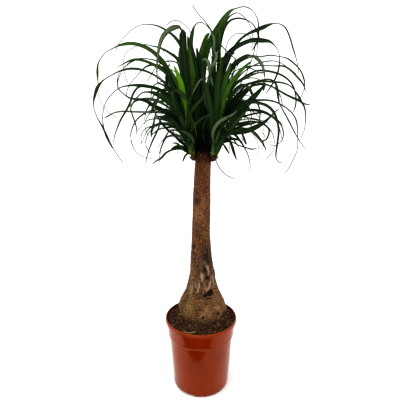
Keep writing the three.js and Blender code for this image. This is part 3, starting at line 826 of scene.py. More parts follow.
# A short dry leaf base that stands out from the trunk's top
def addScale(parts, root, outward, length, half, draw, steep=0.35, shadedStub=0):
    side = np.array([-outward[1], outward[0], 0])
    rings, count = [], 6
    for step in range(count):
        share = step / count
        middle = root + outward * length * share * (1 - steep * 0.5)
        middle[2] += length * (steep * share + 0.4 * share * share) - 1
        wide = half * (1 - share ** 2.2) * (1 + draw(-0.12, 0.12))
        thick = mix(2.2, 0.7, share)
        rings += [middle + side * wide, middle + [0, 0, thick * 0.5] + outward * 0.5, middle - side * wide,
                  middle - [0, 0, thick]]
    tip = root + outward * length * (1 - steep * 0.5)
    tip[2] += length * (steep + 0.4) - 1 + draw(-1.5, 1.5)
    last = 4 * (count - 1)
    faces = [face[::-1] for face in ringFaces(count, 4)] + [(0, 1, 2, 3)]
    faces += [(last + (i + 1) % 4, last + i, last + 4) for i in range(4)]
    # a stub is painted near-black, as painted shade, and gets no pale flake colour
    parts.add(rings + [tip], faces, dry=draw(0.55, 1), dark=draw(0, 0.6), flake=draw(0, 0.5) * (1 - shadedStub),
              hollow=shadedStub)


makeTrunk()
print("trunk made")


# Soil

soil = {
    "atWall": 237, "atTrunk": 244, "gap": 0.35, "sides": 240, "rings": 30,
    # the middle of the trunk's foot, its radius, that of the hole's mouth, and the rows up the hole
    "footAxis": (4, 10), "footRadius": 79, "mouthRadius": 80.2, "holeFloor": 156, "holeRows": (160, 236, 10),
    "wallRows": (205, 193, 188.2, 164, 140, 105, 80, 55, 30),
    "heap": 14, "heapReach": 10, "crumbs": 2400, "crumbSizes": (0.9, 3), "fibres": 170,
    "fibreLengths": (5, 15), "seed": 31,
}


# The height of the top at many places: it falls towards the wall, and it is heaped up round the foot
def soilHeight(x, y):
    radius, angle = np.hypot(x, y), np.arctan2(y, x)
    share = np.interp(radius, [74, 86, 95, 104, 113], [1, 0.7, 0.4, 0.15, 0])
    ripple = 1.6 * np.sin(3 * angle + radius / 9) + 1.1 * np.sin(7 * angle - radius / 5)
    places = np.stack([x, y, np.zeros_like(x)], axis=1)
    lumps = 1.5 * grain(places, 9, 21) + 1.0 * grain(places, 4.2, 22) + 0.5 * grain(places, 2.2, 23)
    fromFoot = np.hypot(x - soil["footAxis"][0], y - soil["footAxis"][1]) - soil["footRadius"]
    # higher beside the foot and behind it
    heap = soil["heap"] * (1 + 0.7 * np.cos(angle) ** 2 + 0.4 * (y > 0))
    heap = heap * np.exp(-(np.maximum(fromFoot, 0) / soil["heapReach"]) ** 2)
    heap = heap * (0.75 + 0.45 * grain(places, 17, 24))
    return mix(soil["atWall"], soil["atTrunk"], share) + 0.7 * ripple + lumps + heap


def soilAt(x, y):
    return float(soilHeight(np.array([x]), np.array([y]))[0])


def pottingSoil():
    look = Look("potting_soil", Metallic=0, Specular_IOR_Level=0.2)
    colour = look.tones(look.cloud(120, 5, 0.7), 0.32, 0.68, (31, 19, 12), (65, 43, 28), (112, 82, 57))
    # a few cells are light grains, and a few are near-black gaps, painted shade between the grains
    kind = look.cellDraw(260)
    colour = colour.under(tone(126, 96, 66), kind.rise(0.88, 0.95) * 0.5)
    colour = colour.under(tone(14, 9, 7), kind.rise(0.16, 0.08) * 0.7)
    bit = look.drawn("bit")
    bits = look.ramp(bit, (0, tone(24, 15, 10)), (0.6, tone(66, 45, 30)), (0.88, tone(104, 78, 52)),
                     (1, tone(150, 122, 88)))
    colour = colour.under(bits, bit.rise(0.001, 0.01) * 0.8)
    colour = colour.under(tone(188, 168, 122), look.drawn("root"))
    look.shade(Base_Color=colour, Roughness=0.9 + 0.08 * look.cloud(60, 2))
    look.relief(look.cloud(330, 5, 0.75) + 0.5 * look.cells(260), 0.0012, 0.9)
    return look


# A ring of points at one height, or else on the top of the soil
def ring(radius, aside, back, height=None):
    turn = np.arange(soil["sides"]) / soil["sides"] * 2 * math.pi
    x, y = radius * np.cos(turn) + aside, radius * np.sin(turn) + back
    return np.stack([x, y, soilHeight(x, y) if height is None else np.full(len(turn), height)], axis=1)


def makeSoil():
    parts = Parts("bit", "root")
    gap, (footX, footY) = soil["gap"], soil["footAxis"]
    wallTop = wallRadius(soil["atWall"]) - pot["wall"] - 2 * gap
    floorTop = pot["floorRise"] + pot["floorThickness"] + gap
    # up the hole for the trunk, over the top, down the wall
    rings = [ring(float(trunkRadius(height)) + gap, *wanderAt(np.array(height)), height)
             for height in np.linspace(*soil["holeRows"])]
    for step in range(soil["rings"] + 1):
        share = step / soil["rings"]
        rings.append(ring(mix(soil["mouthRadius"], wallTop, share), footX * (1 - share), footY * (1 - share)))
    for height in (*soil["wallRows"], floorTop):
        rings.append(ring(wallRadius(height) - pot["wall"] - gap, 0, 0, height))
    points = np.vstack(rings + [[[footX, footY, soil["holeFloor"]]], [[0, 0, floorTop]]])
    parts.add(points, [face[::-1] for face in closedFaces(len(rings), soil["sides"])])

    draw = Draw(soil["seed"])
    inner = float(trunkRadius(246))
    for i in range(soil["crumbs"]):
        turn, spread = draw(0, 2 * math.pi), draw()
        radius = mix(inner, wallTop - 2, spread ** 0.9)
        x = radius * math.cos(turn) + footX * (1 - spread)
        y = radius * math.sin(turn) + footY * (1 - spread)
        size = mix(*soil["crumbSizes"], draw() ** 2.2)
        crumb = pebble((x, y, soilAt(x, y) + size * 0.15),
                       (size * draw(0.8, 1.4), size * draw(0.8, 1.4), size * 0.75), draw, 4, 6, 0.3)
        parts.add(*crumb, bit=draw(0.02, 1) ** 1.6 + 0.02)
    for i in range(soil["fibres"]):
        turn, spread = draw(0, 2 * math.pi), draw()
        radius = mix(inner + 3, wallTop - 5, spread)
        heading, bend, length = draw(0, 6.3), draw(-0.9, 0.9), draw(*soil["fibreLengths"])
        path = []
        for step in range(6):
            share = step / 5 - 0.5
            x = radius * math.cos(turn) + length * share * math.cos(heading + bend * share)
            y = radius * math.sin(turn) + length * share * math.sin(heading + bend * share)
            path.append((x, y, soilAt(x, y) + 0.5))
        if all(math.hypot(x, y) < wallTop - 2 for x, y, _ in path):
            parts.add(*strand(path, draw(0.3, 0.6), 4), bit=draw(0.6, 1))

    # one pale root arches over the soil at the front left
    path = []
    for share in np.linspace(0, 1, 18):
        x = mix(-57, -16, share)
        y = -76 - 19 * math.sin(math.pi * (0.15 + 0.72 * share)) - 3 * share
        path.append((x, y, soilAt(x, y) + 1 + 2 * math.sin(math.pi * share)))
    parts.add(*strand(path, 1.15, 8, 0.6), root=0.9)
    makePiece("potting_soil", parts, pottingSoil(), "soil")


makeSoil()
print("soil made")


# Leaves

leaves = {
    "stemLength": 140, "stemTip": 4, "stemRings": 12, "stemSides": 20,
    "clearOfNextHead": 1.5, "lowestTip": 735, "lowest": 700, "inset": 6,
    "arcSteps": 4, "steps": 26, "thickness": 1.1, "edgeThickness": 0.35,
    # the large leaves: head, shade, youth, then x, y and height of each place that the leaf passes, and how
    # wide it looks there from the front: less than nothing where it shows its underside
    "large": [
        ("left", 0.45, 0.15, (-69, 12, 972, 13.4), (-92, 14, 1023, 14.8), (-121, 17, 1065, 13.2),
         (-156, 21, 1093, 11.7), (-197, 25, 1107, 10.5), (-230, 29, 1106, 9.4), (-260, 32, 1097, 3.5),
         (-285, 35, 1085, 2.4), (-307, 37, 1057, 4.2), (-318, 38, 1029, 6.9), (-323, 39, 997, 2.4),
         (-312, 37, 956, 1.5), (-286, 35, 915, 1.2), (-250, 31, 891, 1.2)),
        ("left", 0.5, 0, (-68, -6, 937, 7.4), (-94, -10, 979, 5.8), (-119, -14, 1004, 5.2),
         (-147, -17, 1021, 6.3), (-174, -21, 1030, 6.8), (-199, -25, 1032, 6.8), (-227, -29, 1026, 5.7),
         (-252, -32, 1015, 2.3), (-275, -36, 1001, 3.4), (-293, -38, 982, 9.1), (-302, -39, 960, 7.4),
         (-308, -40, 933, 2.3), (-300, -39, 899, 2.6), (-288, -37, 874, 4.6), (-278, -36, 851, 5.8),
         (-263, -34, 816, 2.4), (-247, -32, 786, 1.8), (-231, -29, 762, 1.2)),
        ("left", 0.35, 0, (-64, -27, 913, 8.7), (-89, -38, 955, 9.7), (-116, -50, 973, 8.4),
         (-142, -62, 980, 8.3), (-168, -73, 983, 8.2), (-193, -85, 981, 5.4), (-218, -96, 975, 3.2),
         (-238, -105, 959, 2.4), (-256, -113, 933, 2.1), (-263, -116, 904, 2.1), (-263, -116, 875, 3.2),
         (-258, -114, 849, 4.3), (-252, -111, 832, 2.2), (-243, -107, 813, 1.4)),
        ("left", 0.9, 0, (-61, -41, 894, -8.6), (-83, -56, 907, -8.5), (-114, -77, 911, -6.7),
         (-145, -98, 911, -4.9), (-176, -119, 912, -4.5), (-206, -139, 913, -4.2), (-225, -152, 909, -3.3),
         (-238, -161, 901, -3.8), (-248, -167, 895, -2)),
        ("left", 0.4, 0.1, (-43, -10, 802, 9.1), (-57, -14, 812, 7.8), (-75, -19, 813, 7.8),
         (-90, -23, 806, 3)),
        ("left", 0.55, 0, (-40, -13, 796, 9.1), (-60, -20, 805, 4.8), (-84, -29, 804, 4.2),
         (-104, -36, 796, 5.9), (-118, -41, 781, 5.9), (-133, -46, 773, 3.5), (-144, -51, 763, 1.8)),
        ("left", 0.3, 0, (-65, -69, 918, 5.6), (-90, -95, 949, 5.4), (-114, -120, 967, 4.2),
         (-136, -143, 973, 5.1), (-156, -164, 972, 5), (-169, -177, 954, 4.9), (-175, -183, 935, 4.9),
         (-185, -194, 913, 4.4), (-196, -205, 893, 4.1), (-205, -214, 870, 2.9), (-210, -220, 854, 1.9),
         (-213, -223, 835, 1)),
        ("left", 0.6, 0, (-63, -95, 907, 6.8), (-87, -129, 932, 6.5), (-109, -161, 948, 5),
         (-126, -185, 956, 3.9), (-140, -205, 955, 3.6), (-151, -220, 944, 3.8), (-160, -233, 930, 3.5),
         (-165, -240, 916, 2.8), (-162, -236, 903, 3.1), (-158, -230, 887, 3.3), (-155, -226, 870, 2.4),
         (-155, -226, 854, 1.2)),
        ("left", 0.08, 0, (-58, -46, 877, 11.5), (-82, -65, 899, 12.7), (-105, -83, 915, 11),
         (-128, -100, 927, 9.7), (-147, -115, 939, 8.5), (-165, -130, 943, 5.7), (-183, -144, 945, 3.6),
         (-196, -154, 954, 2.5), (-207, -162, 966, 2), (-210, -165, 979, 2), (-207, -163, 998, 1.5),
         (-203, -159, 1010, 1)),
        ("left", 0.3, 0, (-62, -114, 912, 8), (-80, -146, 941, 6.4), (-96, -172, 954, 5),
         (-104, -187, 946, 5.9), (-110, -198, 932, 6.8), (-117, -209, 917, 4.8), (-121, -216, 905, 2.4)),
        ("left", 0.2, 0, (-50, -29, 859, 7.3), (-67, -38, 870, 5.8), (-89, -51, 871, 5.2),
         (-111, -64, 867, 3.4), (-127, -73, 861, 2.3), (-143, -82, 847, 1.4)),
        ("left", 0.1, 0, (-45, -19, 815, 9), (-63, -27, 830, 8.3), (-82, -35, 851, 7), (-99, -43, 865, 6.4),
         (-115, -50, 885, 5.2), (-125, -55, 902, 3.4), (-136, -59, 918, 2.3)),
        ("left", 0.1, 0, (-60, -56, 880, 7.1), (-81, -75, 896, 6.1), (-99, -91, 902, 4.4),
         (-110, -100, 894, 4.4), (-115, -105, 872, 4.4), (-123, -112, 854, 4.6), (-133, -121, 833, 4.1),
         (-141, -128, 812, 2.7), (-147, -134, 791, 1.9), (-150, -137, 775, 1.1)),
        ("left", 0.2, 0, (-62, -82, 891, 5.5), (-84, -111, 909, 4.3), (-105, -138, 915, 3.1),
         (-116, -153, 909, 2.6), (-120, -157, 894, 3.6), (-124, -162, 874, 6.2), (-128, -167, 859, 4.6),
         (-128, -167, 846, 1.5)),
        ("left", 0.1, 0, (-48, -83, 847, 5.6), (-66, -111, 862, 3.8), (-83, -138, 863, 3.2),
         (-92, -153, 850, 3.9), (-99, -164, 833, 3.9), (-105, -173, 816, 3.1), (-108, -179, 806, 1.3)),
        ("back_left", 0.5, 0, (-53, 38, 891, 4.6), (-99, 64, 881, 3.8), (-132, 84, 881, 3.2),
         (-161, 100, 871, 3.3), (-182, 113, 864, 2.7), (-198, 122, 848, 2.3), (-202, 124, 828, 2),
         (-199, 123, 805, 1.4)),
        ("left", 0.2, 0, (-51, 18, 1021, 8.9), (-68, 23, 1063, 8.8), (-92, 28, 1082, 7.7),
         (-119, 35, 1097, 6.5), (-143, 41, 1104, 3), (-174, 49, 1111, 1.8), (-206, 57, 1103, 1.5),
         (-228, 62, 1089, 1.2), (-239, 65, 1064, 1.2), (-235, 64, 1026, 1.2), (-223, 61, 993, 1.1)),
        ("left", 0.5, 0, (-45, 19, 1057, 8.8), (-56, 22, 1096, 10.2), (-77, 28, 1126, 8.8),
         (-100, 34, 1144, 7), (-124, 41, 1158, 5.3), (-151, 49, 1166, 3), (-179, 57, 1167, 2.4),
         (-208, 65, 1156, 1.8), (-231, 72, 1140, 1.8), (-252, 78, 1118, 1.8), (-266, 82, 1096, 1.2)),
        ("back_left", 0.4, 0, (-71, 48, 998, 7.6), (-102, 66, 1041, 6.2), (-134, 85, 1067, 5),
         (-164, 102, 1077, 3.8), (-192, 118, 1082, 3.8), (-221, 135, 1077, 4.5), (-243, 148, 1067, 3.6),
         (-259, 157, 1055, 2), (-276, 167, 1028, 2.4), (-285, 172, 1003, 2)),
        ("left", 0.3, 0, (-73, -10, 976, 6.4), (-95, -14, 1020, 4.6), (-118, -18, 1041, 4.6),
         (-140, -22, 1043, 5.1), (-157, -25, 1038, 4.5), (-171, -27, 1025, 2.8), (-188, -30, 1007, 1.7),
         (-202, -33, 991, 1.7), (-211, -34, 974, 1.4), (-215, -35, 952, 1.1)),
        ("back_left", 0.2, 0, (-58, 41, 1032, 3.6), (-73, 50, 1059, 3.6), (-92, 61, 1066, 3.7),
         (-111, 72, 1065, 3.1), (-138, 87, 1055, 2.5), (-159, 99, 1030, 2.2), (-177, 110, 1007, 1.6)),
        ("left", 0.1, 0, (-35, -50, 896, 18.6), (-37, -58, 951, 19), (-41, -62, 1004, 19),
         (-46, -64, 1050, 19), (-49, -64, 1089, 18.6), (-51, -64, 1118, 17.5), (-58, -68, 1129, -7),
         (-78, -76, 1127, -11), (-96, -80, 1114, -11.5), (-106, -84, 1097, -9.5), (-113, -86, 1072, -7),
         (-117, -86, 1047, -4.8), (-119, -84, 1022, -2.7), (-119, -80, 997, -2.2), (-117, -76, 976, -1.4)),
        ("left", 0.6, 0.9, (-43, -62, 869, 2.6), (-44, -70, 905, 3.8), (-46, -76, 937, 8.4),
         (-50, -80, 963, 14.5), (-55, -80, 986, 14.5), (-62, -78, 1007, 11), (-69, -76, 1023, 7),
         (-75, -74, 1036, 2)),
        ("left", 0.6, 0.35, (-48, -64, 913, 7), (-57, -70, 961, 8.3), (-66, -72, 990, 8.8),
         (-76, -72, 1011, 6.5), (-84, -70, 1025, 3.3)),
        ("left", 0.6, 0.15, (-46, -40, 924, 7.2), (-53, -44, 979, 8.5), (-55, -46, 1016, 8.4),
         (-59, -46, 1045, 5.5), (-60, -46, 1069, 6.1), (-58, -44, 1087, 3.3)),
        ("left", 0.2, 0, (-44, -40, 834, 14.6), (-56, -54, 885, 17.1), (-68, -62, 932, 18.2),
         (-75, -66, 967, 16.6), (-84, -68, 995, 11), (-91, -68, 1016, 6.8), (-93, -68, 1032, 3.3)),
        ("left", 0.3, 0, (-38, -50, 834, 17.4), (-49, -60, 880, 19.9), (-62, -66, 918, 18.2),
         (-75, -70, 948, 13.8), (-89, -70, 969, 8.3), (-105, -68, 985, 5), (-122, -66, 990, 2.8)),
        ("left", 0.05, 0, (-62, -10, 925, 8.8), (-88, -14, 962, 8.7), (-97, -16, 987, 8.1),
         (-100, -16, 1009, 6.9), (-97, -16, 1031, 4.3), (-89, -16, 1050, 2.3)),
        ("left", 0.55, 0.1, (-24, 4, 949, 13.4), (-27, 2, 1005, 13.2), (-29, 0, 1055, 13),
         (-30, 0, 1092, 11.5), (-28, 0, 1119, 10.8), (-24, 0, 1136, 8.5), (-19, -2, 1149, 4.5),
         (-9, -4, 1158, 2.8), (5, -6, 1157, 2.8), (19, -8, 1146, 2.3), (29, -10, 1134, 1.7)),
        ("left", 0.4, 0, (-36, 8, 977, 10.4), (-37, 6, 1044, 10.2), (-35, 6, 1088, 9.2), (-37, 5, 1109, 6.9),
         (-38, 5, 1126, 3.4)),
        ("left", 0.6, 0.4, (-24, -36, 924, 10.1), (-23, -42, 974, 13), (-24, -46, 1014, 14),
         (-27, -46, 1043, 11.1), (-31, -46, 1066, 7.2), (-35, -44, 1087, 3.3)),
        ("left", 0.25, 0, (-15, -34, 868, 17.5), (-12, -40, 930, 18.6), (-12, -42, 979, 17),
         (-13, -42, 1022, 14), (-17, -40, 1054, 9.5), (-23, -38, 1080, 5.5), (-26, -36, 1102, 2.8)),
        ("left", 0.12, 0, (-3, -28, 879, 17.5), (1, -34, 941, 17.2), (-1, -36, 996, 17),
         (-3, -36, 1039, 12.6), (-9, -34, 1065, 8.4), (-13, -32, 1089, 4.2)),
        ("left", 0.72, 0, (-45, -84, 864, 9.7), (-60, -100, 904, 12.2), (-82, -108, 934, 13.4),
         (-104, -112, 953, 10.1), (-125, -114, 962, 5.8), (-146, -114, 963, 3.7), (-159, -114, 961, 2.1)),
        ("left", 0.6, 0, (-38, -50, 817, 11.6), (-49, -66, 849, 13.1), (-68, -76, 877, 12.3),
         (-89, -82, 894, 9.4), (-111, -84, 900, 5.5), (-133, -84, 898, 2.8)),
        ("left", 0.35, 0, (-32, -46, 834, 14.5), (-36, -60, 874, 14.2), (-40, -66, 913, 14),
         (-38, -66, 951, 11.1), (-34, -64, 983, 5.5)),
        ("left", 0.75, 0, (-37, -80, 880, 8.4), (-28, -90, 912, 8.2), (-13, -96, 931, 8.1),
         (1, -100, 946, 6.5), (10, -102, 967, 2.7)),
        ("left", 0.65, 0, (-35, -70, 841, 8.5), (-24, -82, 869, 7.2), (-8, -88, 887, 6.1),
         (16, -92, 903, 3.8), (35, -94, 912, 1.6)),
        ("left", 0.15, 0, (-42, -30, 792, 4.8), (-49, -36, 784, 5.3), (-55, -38, 769, 2.4)),
        ("left", 0.3, 0.1, (-51, -24, 803, 7.2), (-63, -28, 816, 7.1), (-74, -30, 824, 4.7),
         (-86, -30, 824, 2.4)),
        ("right", 0.7, 0, (34, -50, 829, 11.6), (30, -66, 874, 13), (26, -78, 921, 13.3), (18, -86, 957, 12),
         (11, -92, 985, 8.1), (3, -96, 998, -4.3), (-6, -100, 990, -4.8), (-17, -102, 972, -3.7),
         (-26, -102, 954, -1.3)),
        ("right", 0.9, 0, (35, -76, 830, 5), (33, -92, 853, -8.3), (38, -102, 872, -9.8),
         (51, -108, 887, -9.7), (66, -112, 896, -7.5), (82, -114, 904, -4.8), (98, -114, 917, -2.4)),
        ("right", 0.35, 0, (43, -56, 818, 11.5), (62, -70, 849, 14.1), (86, -80, 887, 15.3),
         (109, -86, 915, 15.1), (130, -90, 939, 15), (148, -92, 958, 12.2), (163, -94, 975, 6.4),
         (172, -94, 988, 2.7)),
        ("right", 0.85, 0, (45, -64, 813, 7.2), (64, -80, 843, 8.4), (85, -88, 871, 8.9),
         (106, -92, 896, 8.2), (122, -94, 915, 5.4), (132, -94, 927, 2.7)),
        ("right", 0.45, 0, (38, -19, 894, 11.8), (60, -35, 916, 14.4), (87, -55, 924, 14.1),
         (113, -74, 934, 12.5), (133, -88, 940, 8.2), (152, -102, 941, 4.3), (171, -116, 941, 4.8),
         (190, -130, 937, 4.7), (206, -141, 929, 3.1), (220, -151, 919, 3.1), (234, -161, 904, 4.1),
         (242, -167, 886, 5.1), (245, -170, 861, 3.1), (247, -171, 841, 2), (247, -171, 816, 1.5),
         (239, -165, 789, 1.8), (231, -160, 768, 1.6), (220, -151, 748, 1.1)),
        ("right", 0.2, 0, (49, -40, 868, 8.7), (80, -73, 902, 8.4), (110, -103, 925, 8.1),
         (133, -127, 935, 6.8), (153, -148, 932, 7.2), (168, -164, 925, 7.1), (181, -177, 910, 6.5),
         (189, -185, 889, 5), (193, -189, 864, 5), (192, -188, 840, 4.5), (190, -186, 817, 4.1),
         (190, -186, 799, 2.5), (195, -191, 788, 1.5), (203, -200, 786, 1)),
        ("right", 0.4, 0, (62, -6, 879, 7.5), (100, -13, 908, 6.5), (134, -19, 916, 5.3),
         (165, -24, 918, 5.2), (188, -28, 912, 5.2), (209, -32, 898, 5.2), (227, -35, 884, 4.1),
         (238, -37, 862, 3.5), (240, -37, 845, 2.9), (233, -36, 828, 2.1), (215, -33, 816, 1.5),
         (200, -30, 822, 1.2)),
        ("right", 0.05, 0, (51, -54, 837, 11.5), (72, -81, 853, 12.6), (97, -112, 859, 13),
         (120, -142, 864, 13.1), (140, -167, 874, 11.5), (156, -188, 886, 7.5), (167, -203, 898, 4.9),
         (177, -214, 911, 2.9), (186, -226, 918, 1.4)),
        ("right", 0.5, 0, (58, -26, 851, 5.9), (84, -41, 868, 5.8), (111, -56, 880, 5.7),
         (134, -70, 887, 5.1), (155, -82, 886, 3.3), (173, -92, 882, 2.2)),
        ("right", 0.15, 0, (78, -28, 879, 5.8), (101, -38, 894, 5.8), (122, -48, 901, 5.1),
         (144, -57, 907, 4.8), (165, -67, 911, 4.2), (185, -76, 913, 2.8)),
        ("right", 0.3, 0, (76, -51, 908, 6.8), (107, -75, 929, 6.1), (132, -94, 939, 5.4),
         (149, -108, 935, 4.3), (156, -113, 917, 3.7), (157, -114, 899, 3.2), (154, -112, 883, 1.6)),
        ("right", 0.1, 0, (68, -103, 846, 5.5), (91, -143, 863, 5.8), (112, -180, 870, 5.5),
         (125, -202, 865, 6.4), (136, -221, 851, 5.3), (145, -238, 838, 3.6), (153, -251, 825, 2.8),
         (155, -254, 818, 1.2)),
        ("right", 0.25, 0, (87, -64, 860, 6.8), (113, -86, 875, 5.5), (133, -102, 880, 5.4),
         (152, -118, 885, 4.8), (168, -132, 878, 4.2), (178, -140, 867, 4.7), (177, -140, 852, 4.2),
         (171, -134, 839, 3.7), (158, -124, 836, 2.2)),
        ("right", 0.1, 0, (54, -50, 832, 5.8), (73, -71, 840, 4.5), (82, -81, 831, 5.6), (88, -87, 814, 7.9),
         (92, -91, 801, 6.7), (97, -97, 787, 3.4), (100, -100, 782, 1.4)),
        ("right", 0.2, 0, (53, -35, 815, 4.4), (64, -44, 821, 4.4), (73, -53, 809, 5.8), (82, -60, 794, 2.3)),
        ("right", 0.1, 0, (62, -28, 838, 5.9), (84, -41, 853, 5.8), (100, -51, 847, 6.3),
         (112, -57, 832, 5.8), (124, -64, 814, 3.4), (134, -70, 793, 2.3), (140, -73, 771, 2),
         (140, -74, 742, 1.2)),
        ("right", 0.15, 0, (69, -89, 852, 5.6), (93, -125, 864, 4.3), (107, -145, 855, 4.7),
         (112, -153, 842, 6.3), (117, -160, 828, 4.2)),
        ("right", 0.35, 0, (66, -54, 827, 4), (87, -74, 830, 3.7), (105, -92, 822, 3.3), (123, -109, 817, 3),
         (137, -123, 814, 3.8), (151, -136, 819, 1.3)),
        ("right", 0.5, 0, (38, -30, 798, 3.6), (41, -34, 781, 2.4), (53, -36, 754, 2.4), (75, -34, 730, 2.1),
         (105, -30, 717, 1.5)),
        ("right", 0.2, 0.1, (51, -12, 808, 9), (65, -18, 827, 9.6), (85, -25, 836, 8.9), (105, -32, 835, 5.9),
         (120, -37, 829, 2.9)),
        ("back_right", 0.45, 0.15, (8, -6, 982, 14.6), (10, -10, 1042, 15.5), (19, -12, 1090, 15.9),
         (32, -10, 1120, 15.8), (47, -6, 1144, 15.2), (64, 0, 1169, 13.6), (84, 8, 1191, 9.6),
         (102, 16, 1201, 2.3), (120, 24, 1207, 2.9), (137, 32, 1206, 5.2), (154, 40, 1197, 2.6),
         (166, 46, 1178, 3.5), (170, 48, 1157, 4.1), (171, 48, 1129, 3), (167, 44, 1095, 1.8),
         (165, 40, 1060, 1.5)),
        ("right", 0.3, 0.05, (31, -20, 986, 12.7), (35, -24, 1046, 13.6), (41, -26, 1090, 13.4),
         (51, -28, 1123, 11.7), (65, -30, 1150, 8.3), (81, -32, 1169, 4.9), (98, -34, 1176, 2.5),
         (114, -34, 1168, 2.2), (130, -34, 1151, 1.9), (140, -32, 1128, 1.7), (144, -30, 1103, 1.4),
         (137, -28, 1080, 1.1)),
        ("right", 0.2, 0, (49, -2, 1010, 8.7), (51, -2, 1070, 8.6), (56, -3, 1113, 8.5), (66, -4, 1145, 7.9),
         (81, -7, 1162, 6.2), (100, -9, 1168, 5), (120, -12, 1165, 4.2), (139, -15, 1156, 2.8),
         (153, -17, 1139, 3.4), (161, -18, 1116, 5.6), (155, -17, 1100, 4.5), (141, -15, 1079, 2.3)),
        ("right", 0.08, 0, (43, -5, 976, 11.7), (54, -8, 1032, 14.4), (74, -13, 1069, 14.3),
         (95, -18, 1088, 13), (120, -24, 1100, 11.8), (144, -30, 1107, 11.7), (168, -36, 1105, 11.6),
         (187, -41, 1101, 7.7), (203, -45, 1089, 2.5), (213, -48, 1074, 1.9), (216, -48, 1053, 3.3),
         (215, -48, 1029, 4.4), (207, -46, 1003, 4.5), (194, -43, 979, 3.4), (181, -40, 960, 1.7)),
        ("right", 0.1, 0, (61, 10, 1006, 11.8), (78, 12, 1059, 11.7), (98, 14, 1095, 9.9), (115, 15, 1117, 7),
         (136, 18, 1132, 6.9), (156, 20, 1142, 9.8), (179, 22, 1152, 11.6), (199, 24, 1160, 6.9),
         (217, 26, 1163, 1.7), (232, 28, 1161, 3.5), (247, 29, 1150, 4.4), (261, 31, 1125, 4.1),
         (271, 32, 1098, 4.1), (282, 33, 1071, 2.4), (290, 34, 1043, 1.5), (294, 34, 1023, 1.2)),
        ("right", 0.25, 0, (56, -38, 969, 11.4), (72, -51, 1013, 13.9), (89, -66, 1037, 13.6),
         (106, -80, 1049, 12.1), (123, -94, 1055, 10.6), (137, -106, 1052, -6.5), (150, -117, 1041, -8.3),
         (159, -124, 1024, -6.2), (163, -128, 1004, -4.1), (164, -129, 980, 5.2), (161, -126, 962, 2.6)),
        ("right", 0.75, 0.35, (55, -70, 907, 8.4), (65, -78, 947, 11), (75, -82, 977, 10.9),
         (88, -84, 999, 10.3), (104, -86, 1018, 9.1), (120, -86, 1033, 6.4), (135, -86, 1045, 2.7)),
        ("right", 0.45, 0.2, (51, -62, 871, 14.2), (55, -72, 921, 18.1), (60, -78, 960, 17.8),
         (67, -80, 997, 14.9), (75, -80, 1023, 9.4), (80, -78, 1043, 4)),
        ("right", 0.28, 0.06, (39, -60, 863, 14.2), (42, -74, 918, 16.7), (44, -80, 968, 16.4),
         (48, -82, 1007, 13.5), (53, -82, 1035, 8), (57, -80, 1058, 3.5)),
        ("right", 0.08, 0, (23, -36, 868, 14.5), (25, -42, 930, 16), (28, -44, 979, 14.1),
         (32, -44, 1019, 10.1), (33, -42, 1048, 5.6)),
        ("right", 0.15, 0, (34, -40, 891, 17.3), (36, -46, 952, 17), (44, -48, 1000, 15.7),
         (58, -50, 1037, 12.7), (76, -50, 1062, 8.3), (93, -50, 1073, 4.1)),
        ("right", 0.35, 0, (62, 0, 928, 7.4), (85, -2, 971, 7.1), (110, -3, 1000, 6.4), (136, -5, 1018, 5.8),
         (161, -7, 1029, 5.2), (187, -9, 1029, 5.5), (213, -10, 1024, 5.2), (236, -12, 1015, 4.9),
         (255, -13, 1001, 4.6), (269, -14, 981, 4.3), (276, -15, 956, 3.5), (276, -15, 931, 4.1),
         (269, -14, 908, 1.5)),
        ("right", 0.9, 0.1, (66, -23, 942, 7.3), (88, -32, 980, 8.6), (109, -42, 999, 8.4),
         (133, -52, 1010, 6.1), (156, -63, 1017, 3.8), (176, -72, 1017, 2.2)),
        ("right", 0.4, 0, (69, 15, 914, 7.6), (90, 19, 961, 7.2), (114, 23, 984, 6.6), (138, 27, 995, 4.8),
         (165, 32, 1002, 5.4), (193, 37, 1004, 6), (221, 42, 1003, 5.5), (247, 46, 1001, 4.9),
         (270, 50, 994, 4.3), (290, 54, 978, 3.1), (304, 57, 960, 6.8), (313, 58, 945, 5.6),
         (322, 60, 933, 5), (328, 61, 915, 3.8), (330, 61, 884, 2.5), (326, 60, 853, 1.9),
         (315, 59, 831, 1.6)),
        ("right", 0.3, 0, (77, -40, 922, 5.7), (103, -57, 956, 5.6), (128, -72, 977, 5.5),
         (153, -88, 984, 5.4), (175, -102, 982, 4.3), (194, -114, 973, 4), (213, -126, 960, 4.7),
         (232, -137, 949, 5.2), (248, -147, 941, 6.2), (261, -156, 932, 3.6), (277, -165, 928, 2)),
        ("back_right", 0.15, 0, (81, 31, 985, 7.6), (105, 40, 1023, 6.6), (136, 51, 1045, 4.9),
         (168, 63, 1052, 3.7), (201, 75, 1054, 3.7), (234, 87, 1055, 3.8), (262, 97, 1056, 5),
         (287, 106, 1044, 5.7), (309, 114, 1026, 5.8), (332, 123, 1005, 4.6), (350, 129, 980, 2)),
        ("right", 0.35, 0, (74, 21, 1001, 7.5), (98, 27, 1042, 5.9), (128, 34, 1065, 4.2), (158, 42, 1075, 3),
         (186, 49, 1077, 3.3), (212, 55, 1081, 4.2), (237, 62, 1079, 2.4), (263, 68, 1075, 4.3),
         (287, 74, 1061, 4.3), (308, 79, 1043, 3.7), (322, 83, 1019, 4.7), (327, 84, 995, 2.5),
         (321, 83, 971, 1.9), (312, 80, 952, 1.3)),
        ("right", 0.3, 0, (84, -24, 936, 5.8), (111, -34, 969, 5.1), (137, -44, 990, 4.5),
         (169, -55, 998, 4.2), (190, -63, 999, 4.4), (203, -68, 990, 5.5), (209, -70, 974, 7.2),
         (212, -71, 956, 6.1), (217, -73, 934, 2.8), (229, -77, 913, 3.3), (243, -82, 888, 3.9),
         (257, -88, 861, 3.1), (271, -93, 837, 2.2), (291, -100, 810, 1.1)),
        ("right", 0.08, 0, (55, -34, 882, 8.7), (76, -51, 916, 11.4), (97, -67, 938, 11.1),
